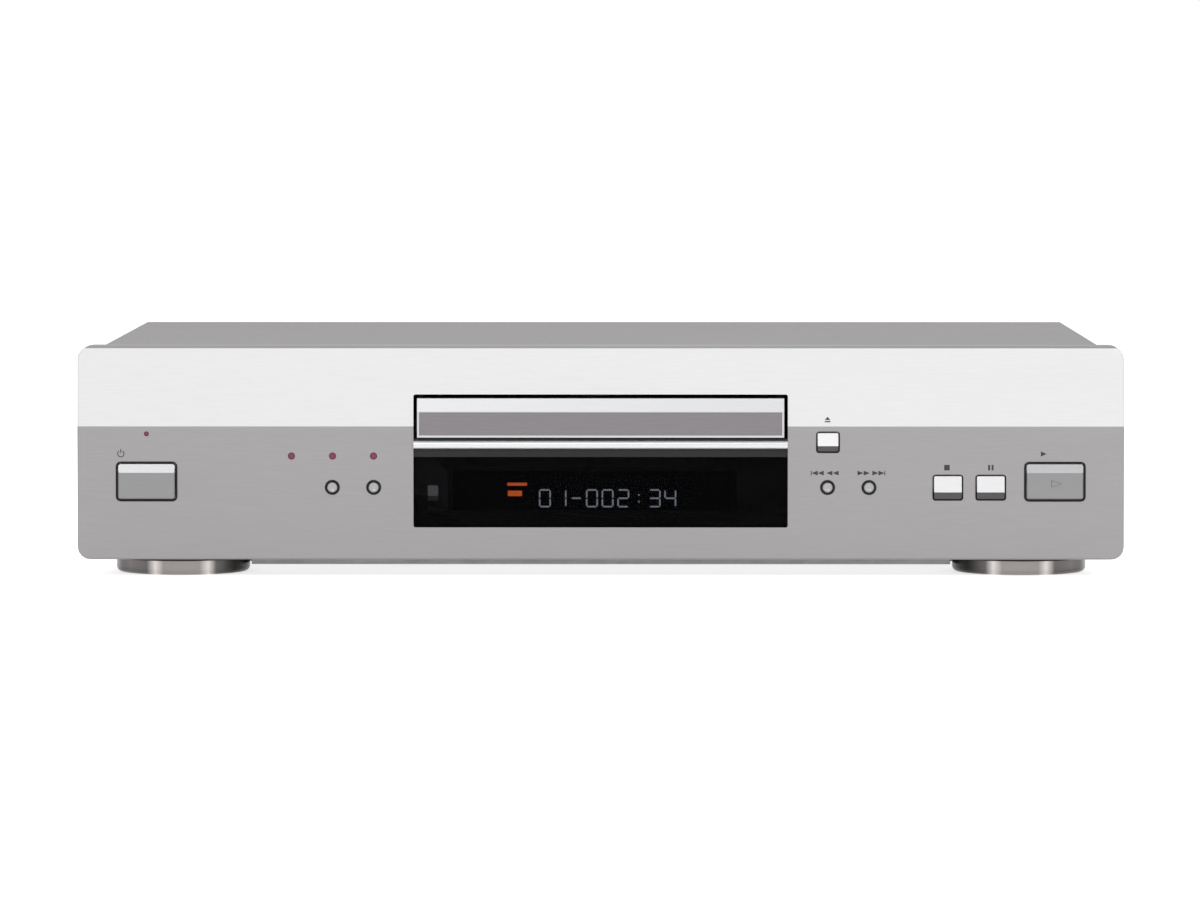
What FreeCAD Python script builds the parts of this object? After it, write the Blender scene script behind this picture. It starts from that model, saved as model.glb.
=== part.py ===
import FreeCAD
import Part
import math
import os

# A full-width disc player with a front-loading tray, in millimetres.
# While it is modelled, Y is the depth behind the face of the fascia, and Z is the height over the table.
# save_node then moves each piece so that the origin is under the middle of the whole player.

# Overall, and the clearances used throughout
overall_width = 420.0
overall_depth = 283.0
button_proud = 1.2
jack_proud = 9.0
sheet = 1.0
slide_gap = 0.3
seat_gap = 0.2
shaft_gap = 0.06
fine_sides = 24
plain_sides = 12
corner_steps = 4

# Feet
foot_height = 7.0
foot_radius = 27.0
foot_rounding = 2.2
foot_inset = 40.5
front_foot_depth = 31.0
rear_foot_inset = 36.0
pad_radius = 20.0
pad_recess = 1.0
pad_proud = 0.3

# Fascia, which stands upright up to a crease and leans back above it
fascia_height = 85.5
fascia_depth = 22.0
fascia_wall = 2.5
fascia_corner = 5.0
fascia_edge = 0.6
crease_height = 53.5
fascia_lean = 2.5
frame_thickness = 2.0
frame_margin = 4.0

# Opening for the tray and the display window
opening_width = 150.2
opening_bottom = 12.9
opening_height = 53.4
opening_corner = 0.8

# Display window, its bright bar, the display tube and the remote receiver
window_height = 31.5
window_thickness = 2.2
window_bevel_height = 3.2
window_bevel_depth = 0.8
bar_height = 3.3
bar_proud = 0.9
view_left_inset = 13.7
view_right_inset = 20.5
view_height = 16.0
view_bottom = 19.5
tube_border = 2.0
tube_thickness = 6.0
remote_inset = 7.7
remote_height = 27.5
remote_size = 4.4

# Front of the tray
tray_front_gap = 1.5
tray_front_height = 15.65
tray_front_bottom = 49.05
tray_front_proud = 0.8
tray_front_depth = 8.0
strip_height = 9.3
strip_rise = 0.85
strip_recess = 0.5
strip_border = 0.8

# Buttons: where each stands over the foot of the fascia, its hole, and the cap in it
switch_gap = 0.9
guide_gap = 0.25
flange_reach = 1.3
flange_thickness = 1.0
stem_radius = 1.5
large_button_inset = 27.8
large_button_height = 31.35
large_hole_width = 24.8
large_hole_height = 16.1
large_hole_corner = 2.0
large_button_gap = 1.1
large_facet_height = 3.4
key_row_height = 28.95
stop_inset = 70.7
pause_inset = 53.5
key_hole_width = 12.4
key_hole_height = 10.5
key_hole_corner = 1.2
key_gap = 0.7
key_ridge_share = 0.3
open_button_gap = 16.1
open_button_height = 47.15
open_hole_width = 9.6
open_hole_height = 8.7
round_button_height = 29.0
round_near_gap = 15.95
round_far_gap = 32.55
round_hole_radius = 3.05
round_cap_radius = 1.95
round_bevel = 0.35

# Indicator lamps
lamp_row_height = 41.6
lamp_count = 3
lamp_gap = 16.0
lamp_pitch = 16.45
lamp_hole_radius = 1.45
lamp_lens_radius = 1.2
standby_lamp_height = 50.5
standby_hole_radius = 1.0
standby_lens_radius = 0.75

# Front board and its switches
front_board_depth = 16.0
board_thickness = 1.6
front_board_inset = 15.0
front_board_bottom = 6.0
front_board_low = 42.0
front_board_high = 55.0
front_board_notch_margin = 9.9
switch_size = 6.0
switch_body = 3.4
plunger_radius = 1.7
plunger_height = 1.4

# Casing
cover_inset = 8.0
cover_drop = 0.5
cover_lap = 12.0
trough_depth = 3.6
trough_inset = 45.0
trough_gap = 2.0
trough_corner = 8.0
side_flange = 14.0
loader_cut_margin = 7.9
loader_cut_bottom = 24.0
loader_cut_top = 78.0
vent_length = 24.0
vent_width = 3.0
vent_pitch = 7.0
vent_count = 9
screw_radius = 1.5
screw_head_radius = 3.2
screw_head_height = 1.8
ear_depth = 12.0

# Disc and tray
disc_radius = 60.0
small_disc_radius = 40.0
disc_allowance = 0.5
disc_depth = 74.0
tray_length = 192.0
tray_floor_height = 61.4
tray_floor = 2.0
tray_rim_height = 68.9
tray_flange_width = 142.0
tray_ledge = 5.0
tray_side_gap = 0.4
small_recess = 0.9
tray_slot_width = 40.0
finger_notch_radius = 13.0

# Gears of the loader
gear_module = 1.0
drive_teeth = 30
pinion_teeth = 16
tooth_addendum = 0.85
tooth_dedendum = 1.15
backlash = 0.28
gear_bottom = 57.2
gear_top = 61.0
rack_line_inset = 7.0
drive_gear_depth = 45.0
pinion_angle = 97.0
rack_front = 34.0
rack_gap = 0.3
pulley_radius = 14.0
motor_pulley_radius = 4.0
pulley_bottom = 53.4
pulley_top = 56.8
pulley_groove = 1.5
belt_size = 1.6
belt_gap = 0.2
belt_span = 34.0
gear_post_radius = 2.0
gear_bore_radius = gear_post_radius + 2 * shaft_gap
hub_radius = 4.0

# Frame of the loader
loader_wall = 2.4
loader_front = 24.0
loader_length = 188.0
loader_bottom = 38.0
loader_top = 72.5
deck_bottom = 51.0
deck_top = 53.0
ledge_width = 3.2
ledge_thickness = 2.0
hold_down_length = 14.0
lug_reach = 9.0
lug_length = 14.0
lug_inset = 12.0
damper_radius = 4.0
damper_height = 5.0
bracket_foot = 12.0

# Traverse that carries the spindle and the pickup
traverse_gear_gap = 2.0
traverse_side = 7.0
traverse_front = 46.0
traverse_rear = 176.0
traverse_bottom = 48.0
traverse_top = 56.0
traverse_wall = 2.5
traverse_floor = 2.0
traverse_gap = 2.0
hinge_depth = 170.0
hinge_height = 50.0
hinge_pin_radius = 2.0
hinge_pin_length = 4.5
traverse_drop = 4.6
cam_pin_x = 4.0
cam_pin_height = 49.0
cam_pin_radius = 1.5
cam_travel = 12.0
cam_depth = 36.0
cam_thickness = 3.0
cam_left = -24.0
cam_right = 26.0
cam_bottom = 34.0
spindle_radius = 14.0
spindle_top = 60.0
spindle_shaft_radius = 1.0
turntable_radius = 15.0
turntable_height = 66.0
turntable_thickness = 2.4
boss_radius = 7.3
boss_height = 68.4
guide_rod_radius = 1.5
rod_inset = 8.0
guide_rod_height = 53.0
pickup_depth = 104.5
pickup_rod_gap = 4.0
pickup_length = 26.0
pickup_height = 8.0
lens_radius = 3.0
lens_top = 65.0
lead_screw_radius = 1.5
lead_screw_gap = 10.0
feed_motor_length = 17.0
feed_motor_radius = 4.5
load_motor_radius = 10.0
load_motor_length = 17.0

# Clamp over the disc
bridge_thickness = 1.2
bridge_front = 50.0
bridge_length = 48.0
bridge_hole_radius = 15.0
clamp_puck_radius = 13.0
clamp_flange_radius = 18.0
clamp_boss_radius = 6.0
clamp_bottom = 69.4
clamp_top = 76.5
clamp_flange = 1.2

# Boards behind and beside the loader
board_lift = 8.0
board_gap = 12.2
board_side_inset = 19.0
power_board_front = 62.0
power_board_length = 150.0
main_board_front = 50.0
main_board_length = 160.0
output_board_width = 250.0
output_board_x = 30.0
standoff_radius = 3.0
big_chip = 28.0
middle_chip = 20.0
small_chip = 14.0
narrow_chip = 11.0
core_width = 46.0
core_depth = 38.0
core_height = 34.0
coil_reach = 7.0
capacitor_radius = 9.0
capacitor_height = 26.0
heatsink_length = 60.0
heatsink_height = 34.0
fin_count = 6
fin_pitch = 3.6
fin_thickness = 1.2

# Connectors in the rear panel
jack_radius = 4.15
jack_bore_radius = 1.65
jack_pitch = 14.0
jack_row_height = 38.0
jack_row_rise = 15.0
jack_columns = 3
jack_start = 60.0
jack_housing_depth = 13.0
jack_housing_margin = 6.5
mains_inset = 34.0
mains_height = 46.0
mains_width = 16.2
mains_opening_height = 8.7
mains_depth = 11.0
mains_wall = 1.8
mains_pin_radius = 1.18
mains_pin_spacing = 8.6
mains_pin_length = 9.0
socket_gap = 12.0
socket_height = 45.0
small_socket_radius = 4.6
small_socket_proud = 1.5

# Values worked out from the sizes above
bridge_bottom = loader_top
fascia_top = foot_height + fascia_height
crease = foot_height + crease_height
rear_face = overall_depth - button_proud - jack_proud
cover_top = fascia_top - cover_drop
cover_front = fascia_depth + seat_gap
panel_front = rear_face - sheet
half_width = overall_width / 2
cover_width = overall_width - 2 * cover_inset
trough_width = overall_width - 2 * trough_inset
view_width = opening_width - view_left_inset - view_right_inset
view_offset = (view_left_inset - view_right_inset) / 2
remote_x = remote_inset - opening_width / 2
tray_front_width = opening_width - 2 * tray_front_gap
tray_rim_width = tray_flange_width - 2 * tray_ledge
large_button_x = half_width - large_button_inset
loader_cut_width = opening_width + 2 * loader_cut_margin
front_board_width = overall_width - 2 * front_board_inset
front_board_notch = opening_width + 2 * front_board_notch_margin
loader_inner_width = tray_flange_width + 2 * tray_side_gap
board_inner = loader_inner_width / 2 + loader_wall + lug_reach + board_gap
board_outer = half_width - board_side_inset
board_width = board_outer - board_inner
board_x = (board_inner + board_outer) / 2
mains_x = mains_inset - half_width
frame_front = fascia_wall
frame_back = frame_front + frame_thickness
opening_floor = foot_height + opening_bottom
rear_foot_depth = rear_face - rear_foot_inset
floor_top = foot_height + sheet
trough_bottom = foot_height - trough_depth
trough_top = trough_bottom + sheet
chassis_front = fascia_depth
chassis_width = cover_width - 2 * sheet - 2 * seat_gap
disc_fit = disc_radius + disc_allowance
drive_radius = gear_module * drive_teeth / 2
pinion_radius = gear_module * pinion_teeth / 2
drive_gear_x = rack_line_inset + drive_radius - tray_flange_width / 2
traverse_left = drive_gear_x + drive_radius + traverse_gear_gap
guide_rod_offset = -traverse_left - rod_inset
pickup_width = 2 * (guide_rod_offset - pickup_rod_gap)
lead_screw_x = guide_rod_offset + lead_screw_gap
traverse_right = lead_screw_x + traverse_side
pinion_x = drive_gear_x + (drive_radius + pinion_radius) * math.cos(math.radians(pinion_angle))
pinion_depth = drive_gear_depth + (drive_radius + pinion_radius) * math.sin(math.radians(pinion_angle))
motor_depth = pinion_depth + belt_span
tray_front_edge = tray_front_depth
tray_rear_edge = tray_front_depth + tray_length
cam_front = cam_depth
cam_back = cam_depth + cam_thickness
board_top = trough_top + board_lift + board_thickness


def vector(x, y, z):
    return FreeCAD.Vector(x, y, z)


def block(x0, x1, y0, y1, z0, z1):
    """Box between two corners."""
    return Part.makeBox(x1 - x0, y1 - y0, z1 - z0, vector(x0, y0, z0))


def post(x, y, z0, z1, radius):
    """Upright round bar."""
    return Part.makeCylinder(radius, z1 - z0, vector(x, y, z0))


def plug(x, z, y0, y1, radius):
    """Round bar that runs from the front to the rear."""
    return Part.makeCylinder(radius, y1 - y0, vector(x, y0, z), vector(0, 1, 0))


def bar(y, z, x0, x1, radius):
    """Round bar that runs from left to right."""
    return Part.makeCylinder(radius, x1 - x0, vector(x0, y, z), vector(1, 0, 0))


def many_sided(start, along, radius, sides):
    """Prism with many sides, for a round form in which nothing turns."""
    across = vector(1, 0, 0) if abs(along.x) < along.Length / 2 else vector(0, 1, 0)
    other = along.cross(across)
    other.normalize()
    corners = []
    for index in range(sides + 1):
        angle = 2 * math.pi * (index % sides) / sides
        corners.append(start + across * (radius * math.cos(angle)) + other * (radius * math.sin(angle)))
    return Part.Face(Part.makePolygon(corners)).extrude(along)


def sided_post(x, y, z0, z1, radius, sides):
    return many_sided(vector(x, y, z0), vector(0, 0, z1 - z0), radius, sides)


def sided_plug(x, z, y0, y1, radius, sides):
    return many_sided(vector(x, y0, z), vector(0, y1 - y0, 0), radius, sides)


def face_of(points):
    corners = [vector(*point) for point in points]
    return Part.Face(Part.makePolygon(corners + corners[:1]))


def side_prism(outline, x0, x1):
    """Extrusion to the right of an outline in Y and Z."""
    return face_of([(x0, y, z) for y, z in outline]).extrude(vector(x1 - x0, 0, 0))


def depth_prism(outline, y0, y1):
    """Extrusion to the rear of an outline in X and Z."""
    return face_of([(x, y0, z) for x, z in outline]).extrude(vector(0, y1 - y0, 0))


def upright_prism(outline, z0, z1):
    """Extrusion upwards of an outline in X and Y."""
    return face_of([(x, y, z0) for x, y in outline]).extrude(vector(0, 0, z1 - z0))


def rounded(solid, radius, direction):
    """Fillet on the corner edges that run along a direction."""
    edges = []
    for edge in solid.Edges:
        along = edge.Vertexes[-1].Point - edge.Vertexes[0].Point
        if along.Length > 0 and abs(along.normalize().dot(direction)) > 0.999:
            edges.append(edge)
    return solid.makeFillet(radius, edges)


def hole_prism(x, z, width, height, radius, y0, y1):
    """Rounded block for a hole or a cap, centred on X and Z, from one depth to another."""
    outline = []
    for corner, (side, rise) in enumerate(((1, 1), (-1, 1), (-1, -1), (1, -1))):
        centre_x = x + side * (width / 2 - radius)
        centre_z = z + rise * (height / 2 - radius)
        for step in range(corner_steps + 1 if radius > 0 else 1):
            angle = math.pi / 2 * (corner + step / corner_steps)
            outline.append((centre_x + radius * math.cos(angle), centre_z + radius * math.sin(angle)))
    return depth_prism(outline, y0, y1)


def lean_at(z):
    """How far the fascia's face has leaned back at a height."""
    if z <= crease:
        return 0.0
    return fascia_lean * (z - crease) / (fascia_top - crease)


def leaning_layer(front, back, bottom, top):
    """Outline of a layer whose front and back follow the creased face."""
    if top <= crease:
        return [(front, bottom), (front, top), (back, top), (back, bottom)]
    return [
        (front, bottom),
        (front, crease),
        (front + lean_at(top), top),
        (back + lean_at(top), top),
        (back, crease),
        (back, bottom),
    ]


def cut_all(solid, tools):
    return solid.cut(Part.makeCompound(tools))


def fused(pieces):
    return pieces[0].fuse(pieces[1:]).removeSplitter()


def save_node(name, shape):
    """Write one sub-part, moved to the player's own origin."""
    placed = shape.copy()
    placed.translate(vector(0, button_proud - overall_depth / 2, 0))
    if len(placed.Solids) == 1:
        placed = placed.Solids[0]
    placed.exportStep("parts/" + name + ".step")


# Buttons as (name, x, height over the table, hole width, hole height, hole corner, gap)
def button_places():
    large_z = foot_height + large_button_height
    key_z = foot_height + key_row_height
    open_z = foot_height + open_button_height
    large = (large_hole_width, large_hole_height, large_hole_corner, large_button_gap)
    key = (key_hole_width, key_hole_height, key_hole_corner, key_gap)
    small_key = (open_hole_width, open_hole_height, key_hole_corner, key_gap)
    return [
        ("standby_button", -large_button_x, large_z) + large,
        ("play_button", large_button_x, large_z) + large,
        ("stop_button", half_width - stop_inset, key_z) + key,
        ("pause_button", half_width - pause_inset, key_z) + key,
        ("open_close_button", opening_width / 2 + open_button_gap, open_z) + small_key,
    ]


def round_button_places():
    z = foot_height + round_button_height
    near = opening_width / 2 + round_near_gap
    far = opening_width / 2 + round_far_gap
    return [
        ("progressive_button", -far, z),
        ("video_off_button", -near, z),
        ("previous_button", near, z),
        ("next_button", far, z),
    ]


def lamp_places():
    row = []
    for index in range(lamp_count):
        x = -opening_width / 2 - lamp_gap - index * lamp_pitch
        row.append((x, foot_height + lamp_row_height, lamp_hole_radius, lamp_lens_radius))
    standby = (-large_button_x, foot_height + standby_lamp_height, standby_hole_radius, standby_lens_radius)
    return row + [standby]


def fascia_body():
    """Front panel as a shell that is open at the rear, with every hole through its face."""
    face_slot = 2 * fascia_depth
    outline = leaning_layer(0, face_slot, foot_height, fascia_top)
    outline[-3] = (fascia_depth, fascia_top)
    outline[-2] = (fascia_depth, foot_height + crease_height)
    outline[-1] = (fascia_depth, foot_height)
    solid = side_prism(outline, -half_width, half_width)
    envelope = hole_prism(0, foot_height + fascia_height / 2, overall_width, fascia_height,
                          fascia_corner, 0, fascia_depth)
    solid = solid.common(envelope)
    front_edges = [edge for edge in solid.Edges if is_front_rim(edge)]
    solid = solid.makeChamfer(fascia_edge, front_edges)
    inner_top = fascia_top - fascia_wall
    cavity_outline = leaning_layer(fascia_wall, face_slot, foot_height + fascia_wall, inner_top)
    cavity = side_prism(cavity_outline, fascia_wall - half_width, half_width - fascia_wall)
    inset = fascia_corner - fascia_wall
    inner_envelope = block(fascia_wall - half_width, half_width - fascia_wall, 0, face_slot,
                           foot_height + fascia_wall, inner_top)
    upright = [edge for edge in inner_envelope.Edges if edge.BoundBox.YLength > fascia_depth]
    solid = solid.cut(cavity.common(inner_envelope.makeChamfer(inset, upright)))
    through = fascia_wall + fascia_lean + 1
    holes = [hole_prism(0, opening_floor + opening_height / 2, opening_width, opening_height,
                        opening_corner, -1, through)]
    for name, x, z, width, height, corner, gap in button_places():
        holes.append(hole_prism(x, z, width, height, corner, -1, through))
    for name, x, z in round_button_places():
        holes.append(sided_plug(x, z, -1, through, round_hole_radius, fine_sides))
    for x, z, hole_radius, lens_radius in lamp_places():
        holes.append(sided_plug(x, z, -1, through, hole_radius, plain_sides))
    return cut_all(solid, holes)


def is_front_rim(edge):
    """True for the edges round the face of the fascia, and not for the crease across it."""
    box = edge.BoundBox
    on_face = box.YMax <= fascia_lean + 0.01
    is_crease = box.ZLength < 0.01 and abs(box.ZMin - crease) < 0.01
    return on_face and not is_crease


def fascia_frame_body():
    """Moulding behind the fascia that guides the buttons and carries the window and the front board."""
    bottom = foot_height + frame_margin
    top = fascia_top - frame_margin
    side = half_width - frame_margin
    solid = side_prism(leaning_layer(frame_front, frame_back, bottom, top), -side, side)
    back = frame_back + fascia_lean + 1
    tray_bottom = foot_height + tray_front_bottom - 2 * slide_gap
    tray_top = opening_floor + opening_height
    holes = [block(-opening_width / 2, opening_width / 2, 0, back, tray_bottom, tray_top)]
    view_floor = foot_height + view_bottom
    holes.append(block(view_offset - view_width / 2, view_offset + view_width / 2, 0, back,
                       view_floor, view_floor + view_height))
    holes.append(hole_prism(remote_x, foot_height + remote_height, remote_size, remote_size,
                            opening_corner, 0, back))
    for name, x, z, width, height, corner, gap in button_places():
        half = width / 2 - gap + guide_gap
        half_tall = height / 2 - gap + guide_gap
        holes.append(block(x - half, x + half, 0, back, z - half_tall, z + half_tall))
    for name, x, z in round_button_places():
        holes.append(sided_plug(x, z, 0, back, round_cap_radius + guide_gap, plain_sides))
    return fused([cut_all(solid, holes)] + board_supports())


def switch_face():
    """Depth of the tip of a key switch's plunger."""
    return front_board_depth - switch_body - plunger_height


def button_tail(x, z, width, height):
    """Flange behind the frame and the stem that presses the switch."""
    front = frame_back + guide_gap
    back = front + flange_thickness
    half_width_there = width / 2 + flange_reach
    half_height_there = height / 2 + flange_reach
    flange = block(x - half_width_there, x + half_width_there, front, back,
                   z - half_height_there, z + half_height_there)
    stem = block(x - stem_radius, x + stem_radius, back, switch_face() - switch_gap,
                 z - stem_radius, z + stem_radius)
    return [flange, stem]


def large_button(x, z, width, height):
    """Wide key with an upright face and a bright facet along its top."""
    left = x - width / 2
    low = z - height / 2
    high = z + height / 2
    facet = high - large_facet_height
    lip = button_proud / 3
    profile = [(lip - button_proud, low), (-button_proud, low + lip), (-button_proud, facet),
               (0, high), (frame_back + 1, high), (frame_back + 1, low)]
    body = side_prism(profile, left, left + width)
    plan = [(left, frame_back + 1), (left, lip - button_proud), (left + lip, -button_proud),
            (left + width - lip, -button_proud), (left + width, lip - button_proud),
            (left + width, frame_back + 1)]
    return body.common(upright_prism(plan, low, high))


def ridge_key(x, z, width, height):
    """Small key whose face is two facets that meet at a ridge."""
    left = x - width / 2
    low = z - height / 2
    ridge = low + height * key_ridge_share
    high = z + height / 2
    back = frame_back + 1
    profile = [(0, low), (-button_proud, ridge), (0, high), (back, high), (back, low)]
    return side_prism(profile, left, left + width)


def square_button(place):
    name, x, z, hole_width, hole_height, corner, gap = place
    width = hole_width - 2 * gap
    height = hole_height - 2 * gap
    if height > key_hole_height:
        cap = large_button(x, z, width, height)
    else:
        cap = ridge_key(x, z, width, height)
    if corner > gap:
        cap = cap.common(hole_prism(x, z, width, height, corner - gap, -button_proud, frame_back + 1))
    return fused([cap] + button_tail(x, z, width, height))


def round_button(place):
    """Small button with a bevelled round tip, for a fingernail."""
    name, x, z = place
    cap = sided_plug(x, z, -button_proud, frame_back + 1, round_cap_radius, plain_sides)
    front = [edge for edge in cap.Edges if edge.BoundBox.YMax < 0]
    cap = cap.makeChamfer(round_bevel, front)
    return fused([cap] + button_tail(x, z, 2 * round_cap_radius, 2 * round_cap_radius))


def indicator_lenses():
    """Red light pipes that stand in their holes, on the frame behind."""
    return Part.makeCompound([
        sided_plug(x, z, seat_gap * 2 + lean_at(z), frame_front + lean_at(z), lens_radius, plain_sides)
        for x, z, hole_radius, lens_radius in lamp_places()])


def window_top():
    return opening_floor + window_height


def display_window():
    """Smoked window with its top edge bevelled back."""
    side = opening_width / 2 - shaft_gap
    low = opening_floor + shaft_gap
    high = window_top()
    front = frame_front - window_thickness
    profile = [(front, low), (front, high - window_bevel_height),
               (front + window_bevel_depth, high), (frame_front, high), (frame_front, low)]
    hole = hole_prism(0, opening_floor + opening_height / 2, opening_width - 2 * shaft_gap,
                      opening_height - 2 * shaft_gap, opening_corner, front, frame_front)
    return side_prism(profile, -side, side).common(hole)


def trim_bar():
    """Half-round bright bar that sits on the window's top edge and closes the tray's opening below."""
    low = window_top()
    high = low + bar_height
    front = fascia_wall - window_thickness
    side = opening_width / 2 - shaft_gap
    edges = [
        Part.Arc(vector(-side, front, low), vector(-side, -bar_proud, (low + high) / 2),
                 vector(-side, front, high)).toShape(),
        Part.makeLine(vector(-side, front, high), vector(-side, frame_front, high)),
        Part.makeLine(vector(-side, frame_front, high), vector(-side, frame_front, low)),
        Part.makeLine(vector(-side, frame_front, low), vector(-side, front, low)),
    ]
    return Part.Face(Part.Wire(edges)).extrude(vector(2 * side, 0, 0))


def display_tube():
    """Glass display tube in its holder, which stands on the front board."""
    front = frame_back + slide_gap
    back = front + tube_thickness
    low = foot_height + view_bottom - tube_border
    high = foot_height + view_bottom + view_height + tube_border
    left = view_offset - view_width / 2 + tube_border
    right = view_offset + view_width / 2 - tube_border
    glass = block(left, right, front, back, low, high)
    inset = tube_border * 2
    holder = block(left + inset, right - inset, back, front_board_depth, low + inset, high - inset)
    return glass.fuse(holder).removeSplitter()


def remote_receiver():
    """Infra-red receiver with a round lens, on the front board behind the window."""
    x = remote_x
    z = foot_height + remote_height
    half = remote_size / 2 - slide_gap / 2
    body = block(x - half, x + half, frame_back, front_board_depth, z - half * 2, z + half)
    lens = sided_plug(x, z, frame_front + slide_gap, frame_back, half * 0.9, plain_sides)
    return body.fuse(lens).removeSplitter()


def front_board():
    """Circuit board behind the fascia, cut down in the middle to let the tray pass."""
    side = front_board_width / 2
    notch = front_board_notch / 2
    low = foot_height + front_board_bottom
    middle = foot_height + front_board_low
    high = foot_height + front_board_high
    outline = [(-side, low), (-side, high), (-notch, high), (-notch, middle), (notch, middle),
               (notch, high), (side, high), (side, low)]
    return depth_prism(outline, front_board_depth, front_board_depth + board_thickness)


def board_supports():
    """Posts from the frame's back that the front board is screwed to."""
    low = foot_height + front_board_bottom + screw_head_radius
    posts = []
    for x in (-front_board_width / 2 + screw_head_radius, 0, front_board_width / 2 - screw_head_radius):
        posts.append(block(x - stem_radius, x + stem_radius, frame_front + sheet, front_board_depth,
                           low - stem_radius, low + stem_radius))
    return posts


def key_switches():
    switches = []
    places = [(place[1], place[2]) for place in button_places() + round_button_places()]
    for x, z in places:
        half = switch_size / 2
        front = front_board_depth - switch_body
        body = block(x - half, x + half, front, front_board_depth, z - half, z + half)
        tip = plunger_radius
        plunger = block(x - tip, x + tip, switch_face(), front, z - tip, z + tip)
        switches.append(body.fuse(plunger).removeSplitter())
    return Part.makeCompound(switches)


def foot_places():
    side = half_width - foot_inset
    return [(x, y) for y in (front_foot_depth, rear_foot_depth) for x in (-side, side)]


def foot(x, y):
    """Wide turned foot, bevelled round its lower edge, with a seat below for the rubber pad."""
    body = post(x, y, pad_proud, foot_height, foot_radius)
    low_edge = [edge for edge in body.Edges if edge.BoundBox.ZMax < pad_proud + sheet / 2]
    body = body.makeChamfer(foot_rounding, low_edge)
    seat = sided_post(x, y, 0, pad_proud + pad_recess, pad_radius + slide_gap, fine_sides)
    return body.cut(seat)


def feet():
    return Part.makeCompound([foot(x, y) for x, y in foot_places()])


def foot_pads():
    pads = [sided_post(x, y, 0, pad_proud + pad_recess, pad_radius, fine_sides) for x, y in foot_places()]
    return Part.makeCompound(pads)


def trough_outline(inset, low, high):
    """Pressed-down middle of the chassis floor, drawn in round the feet."""
    front = chassis_front + trough_gap + inset
    back = panel_front - trough_gap - inset
    half = trough_width / 2 - inset
    cut = trough_corner
    outline = [(-half, front + cut), (cut - half, front), (half - cut, front), (half, front + cut),
               (half, back - cut), (half - cut, back), (cut - half, back), (-half, back - cut)]
    solid = upright_prism(outline, low, high)
    notch_radius = foot_radius + trough_gap + inset
    notches = [sided_post(x, y, low - 1, high + 1, notch_radius, fine_sides) for x, y in foot_places()]
    return cut_all(solid, notches)


def support_places():
    """Where the boards stand on the chassis floor."""
    places = []
    reach = board_width / 2 - 2 * standoff_radius
    for centre, front, length in ((-board_x, power_board_front, power_board_length),
                                  (board_x, main_board_front, main_board_length)):
        for x in (centre - reach, centre + reach):
            for y in (front + 2 * standoff_radius, front + length - 2 * standoff_radius):
                places.append((x, y))
    return places


def floor_at(x, y):
    """Height of the chassis floor's upper face under a point."""
    margin = sheet + standoff_radius
    in_width = abs(x) < trough_width / 2 - margin
    in_depth = chassis_front + trough_gap + margin < y < panel_front - trough_gap - margin
    notch_radius = foot_radius + trough_gap
    clear = all(math.hypot(x - fx, y - fy) > notch_radius + margin for fx, fy in foot_places())
    return trough_top if in_width and in_depth and clear else floor_top


def chassis_base():
    """Steel pan with a pressed-down middle, side flanges and an upright front wall."""
    half = chassis_width / 2
    back = panel_front
    floor = block(-half, half, chassis_front, back, foot_height, floor_top)
    floor = floor.fuse(trough_outline(0, trough_bottom, floor_top))
    floor = floor.cut(trough_outline(sheet, trough_top, floor_top + 1))
    flanges = [block(side * half - (sheet if side > 0 else 0), side * half + (0 if side > 0 else sheet),
                     chassis_front, back, foot_height, foot_height + side_flange) for side in (-1, 1)]
    wall_top = cover_top - sheet - slide_gap
    front_wall = block(-half, half, chassis_front, chassis_front + sheet, foot_height, wall_top)
    pan = fused([floor, front_wall] + flanges)
    cuts = [block(-loader_cut_width / 2, loader_cut_width / 2, 0, chassis_front + 2 * sheet,
                  loader_cut_bottom, loader_cut_top)]
    first = -(vent_count - 1) * vent_pitch / 2
    for centre_x in (-board_inner, board_inner):
        for index in range(vent_count):
            x = centre_x + first + index * vent_pitch
            y = (chassis_front + back) / 2
            cuts.append(block(x - vent_width / 2, x + vent_width / 2, y - vent_length / 2,
                              y + vent_length / 2, trough_bottom - 1, floor_top + 1))
    pan = cut_all(pan, cuts)
    posts = [sided_post(x, y, floor_at(x, y), trough_top + board_lift, standoff_radius, plain_sides // 2)
             for x, y in support_places()]
    return fused([pan] + posts)


def top_cover():
    """Folded sheet cover: a top, two sides, and a lap down the rear panel."""
    half = cover_width / 2
    back = rear_face + sheet
    outer = block(-half, half, cover_front, back, foot_height, cover_top)
    outer = rounded(outer, 1.5 * sheet, vector(0, 1, 0))
    inner = block(sheet - half, half - sheet, cover_front - 1, rear_face, foot_height - 1, cover_top - sheet)
    inner = rounded(inner, sheet / 2, vector(0, 1, 0))
    shell = outer.cut(inner)
    below_lap = block(cover_lap - half, half - cover_lap, rear_face - 1, back + 1, foot_height - 1,
                      cover_top - cover_lap)
    bottom_trim = block(-half - 1, half + 1, cover_front - 1, back + 1, foot_height - 1, floor_top)
    return cut_all(shell, [below_lap, bottom_trim])


def cover_screw_places():
    """Screws as (point on the outside, direction in)."""
    half = cover_width / 2
    z = foot_height + side_flange - screw_head_radius - 1
    places = []
    for y in (cover_front + 3 * cover_lap, rear_face - 3 * cover_lap):
        places.append((vector(-half, y, z), vector(1, 0, 0)))
        places.append((vector(half, y, z), vector(-1, 0, 0)))
    top_z = cover_top - cover_lap / 2 - 1
    for x in (-half + 2 * cover_lap, 0, half - 2 * cover_lap):
        places.append((vector(x, rear_face + sheet, top_z), vector(0, -1, 0)))
    return places


def pan_screw(place):
    """Head of a screw, seated on the surface at its point."""
    point, inward = place
    return many_sided(point, inward * -screw_head_height, screw_head_radius, plain_sides)


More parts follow.
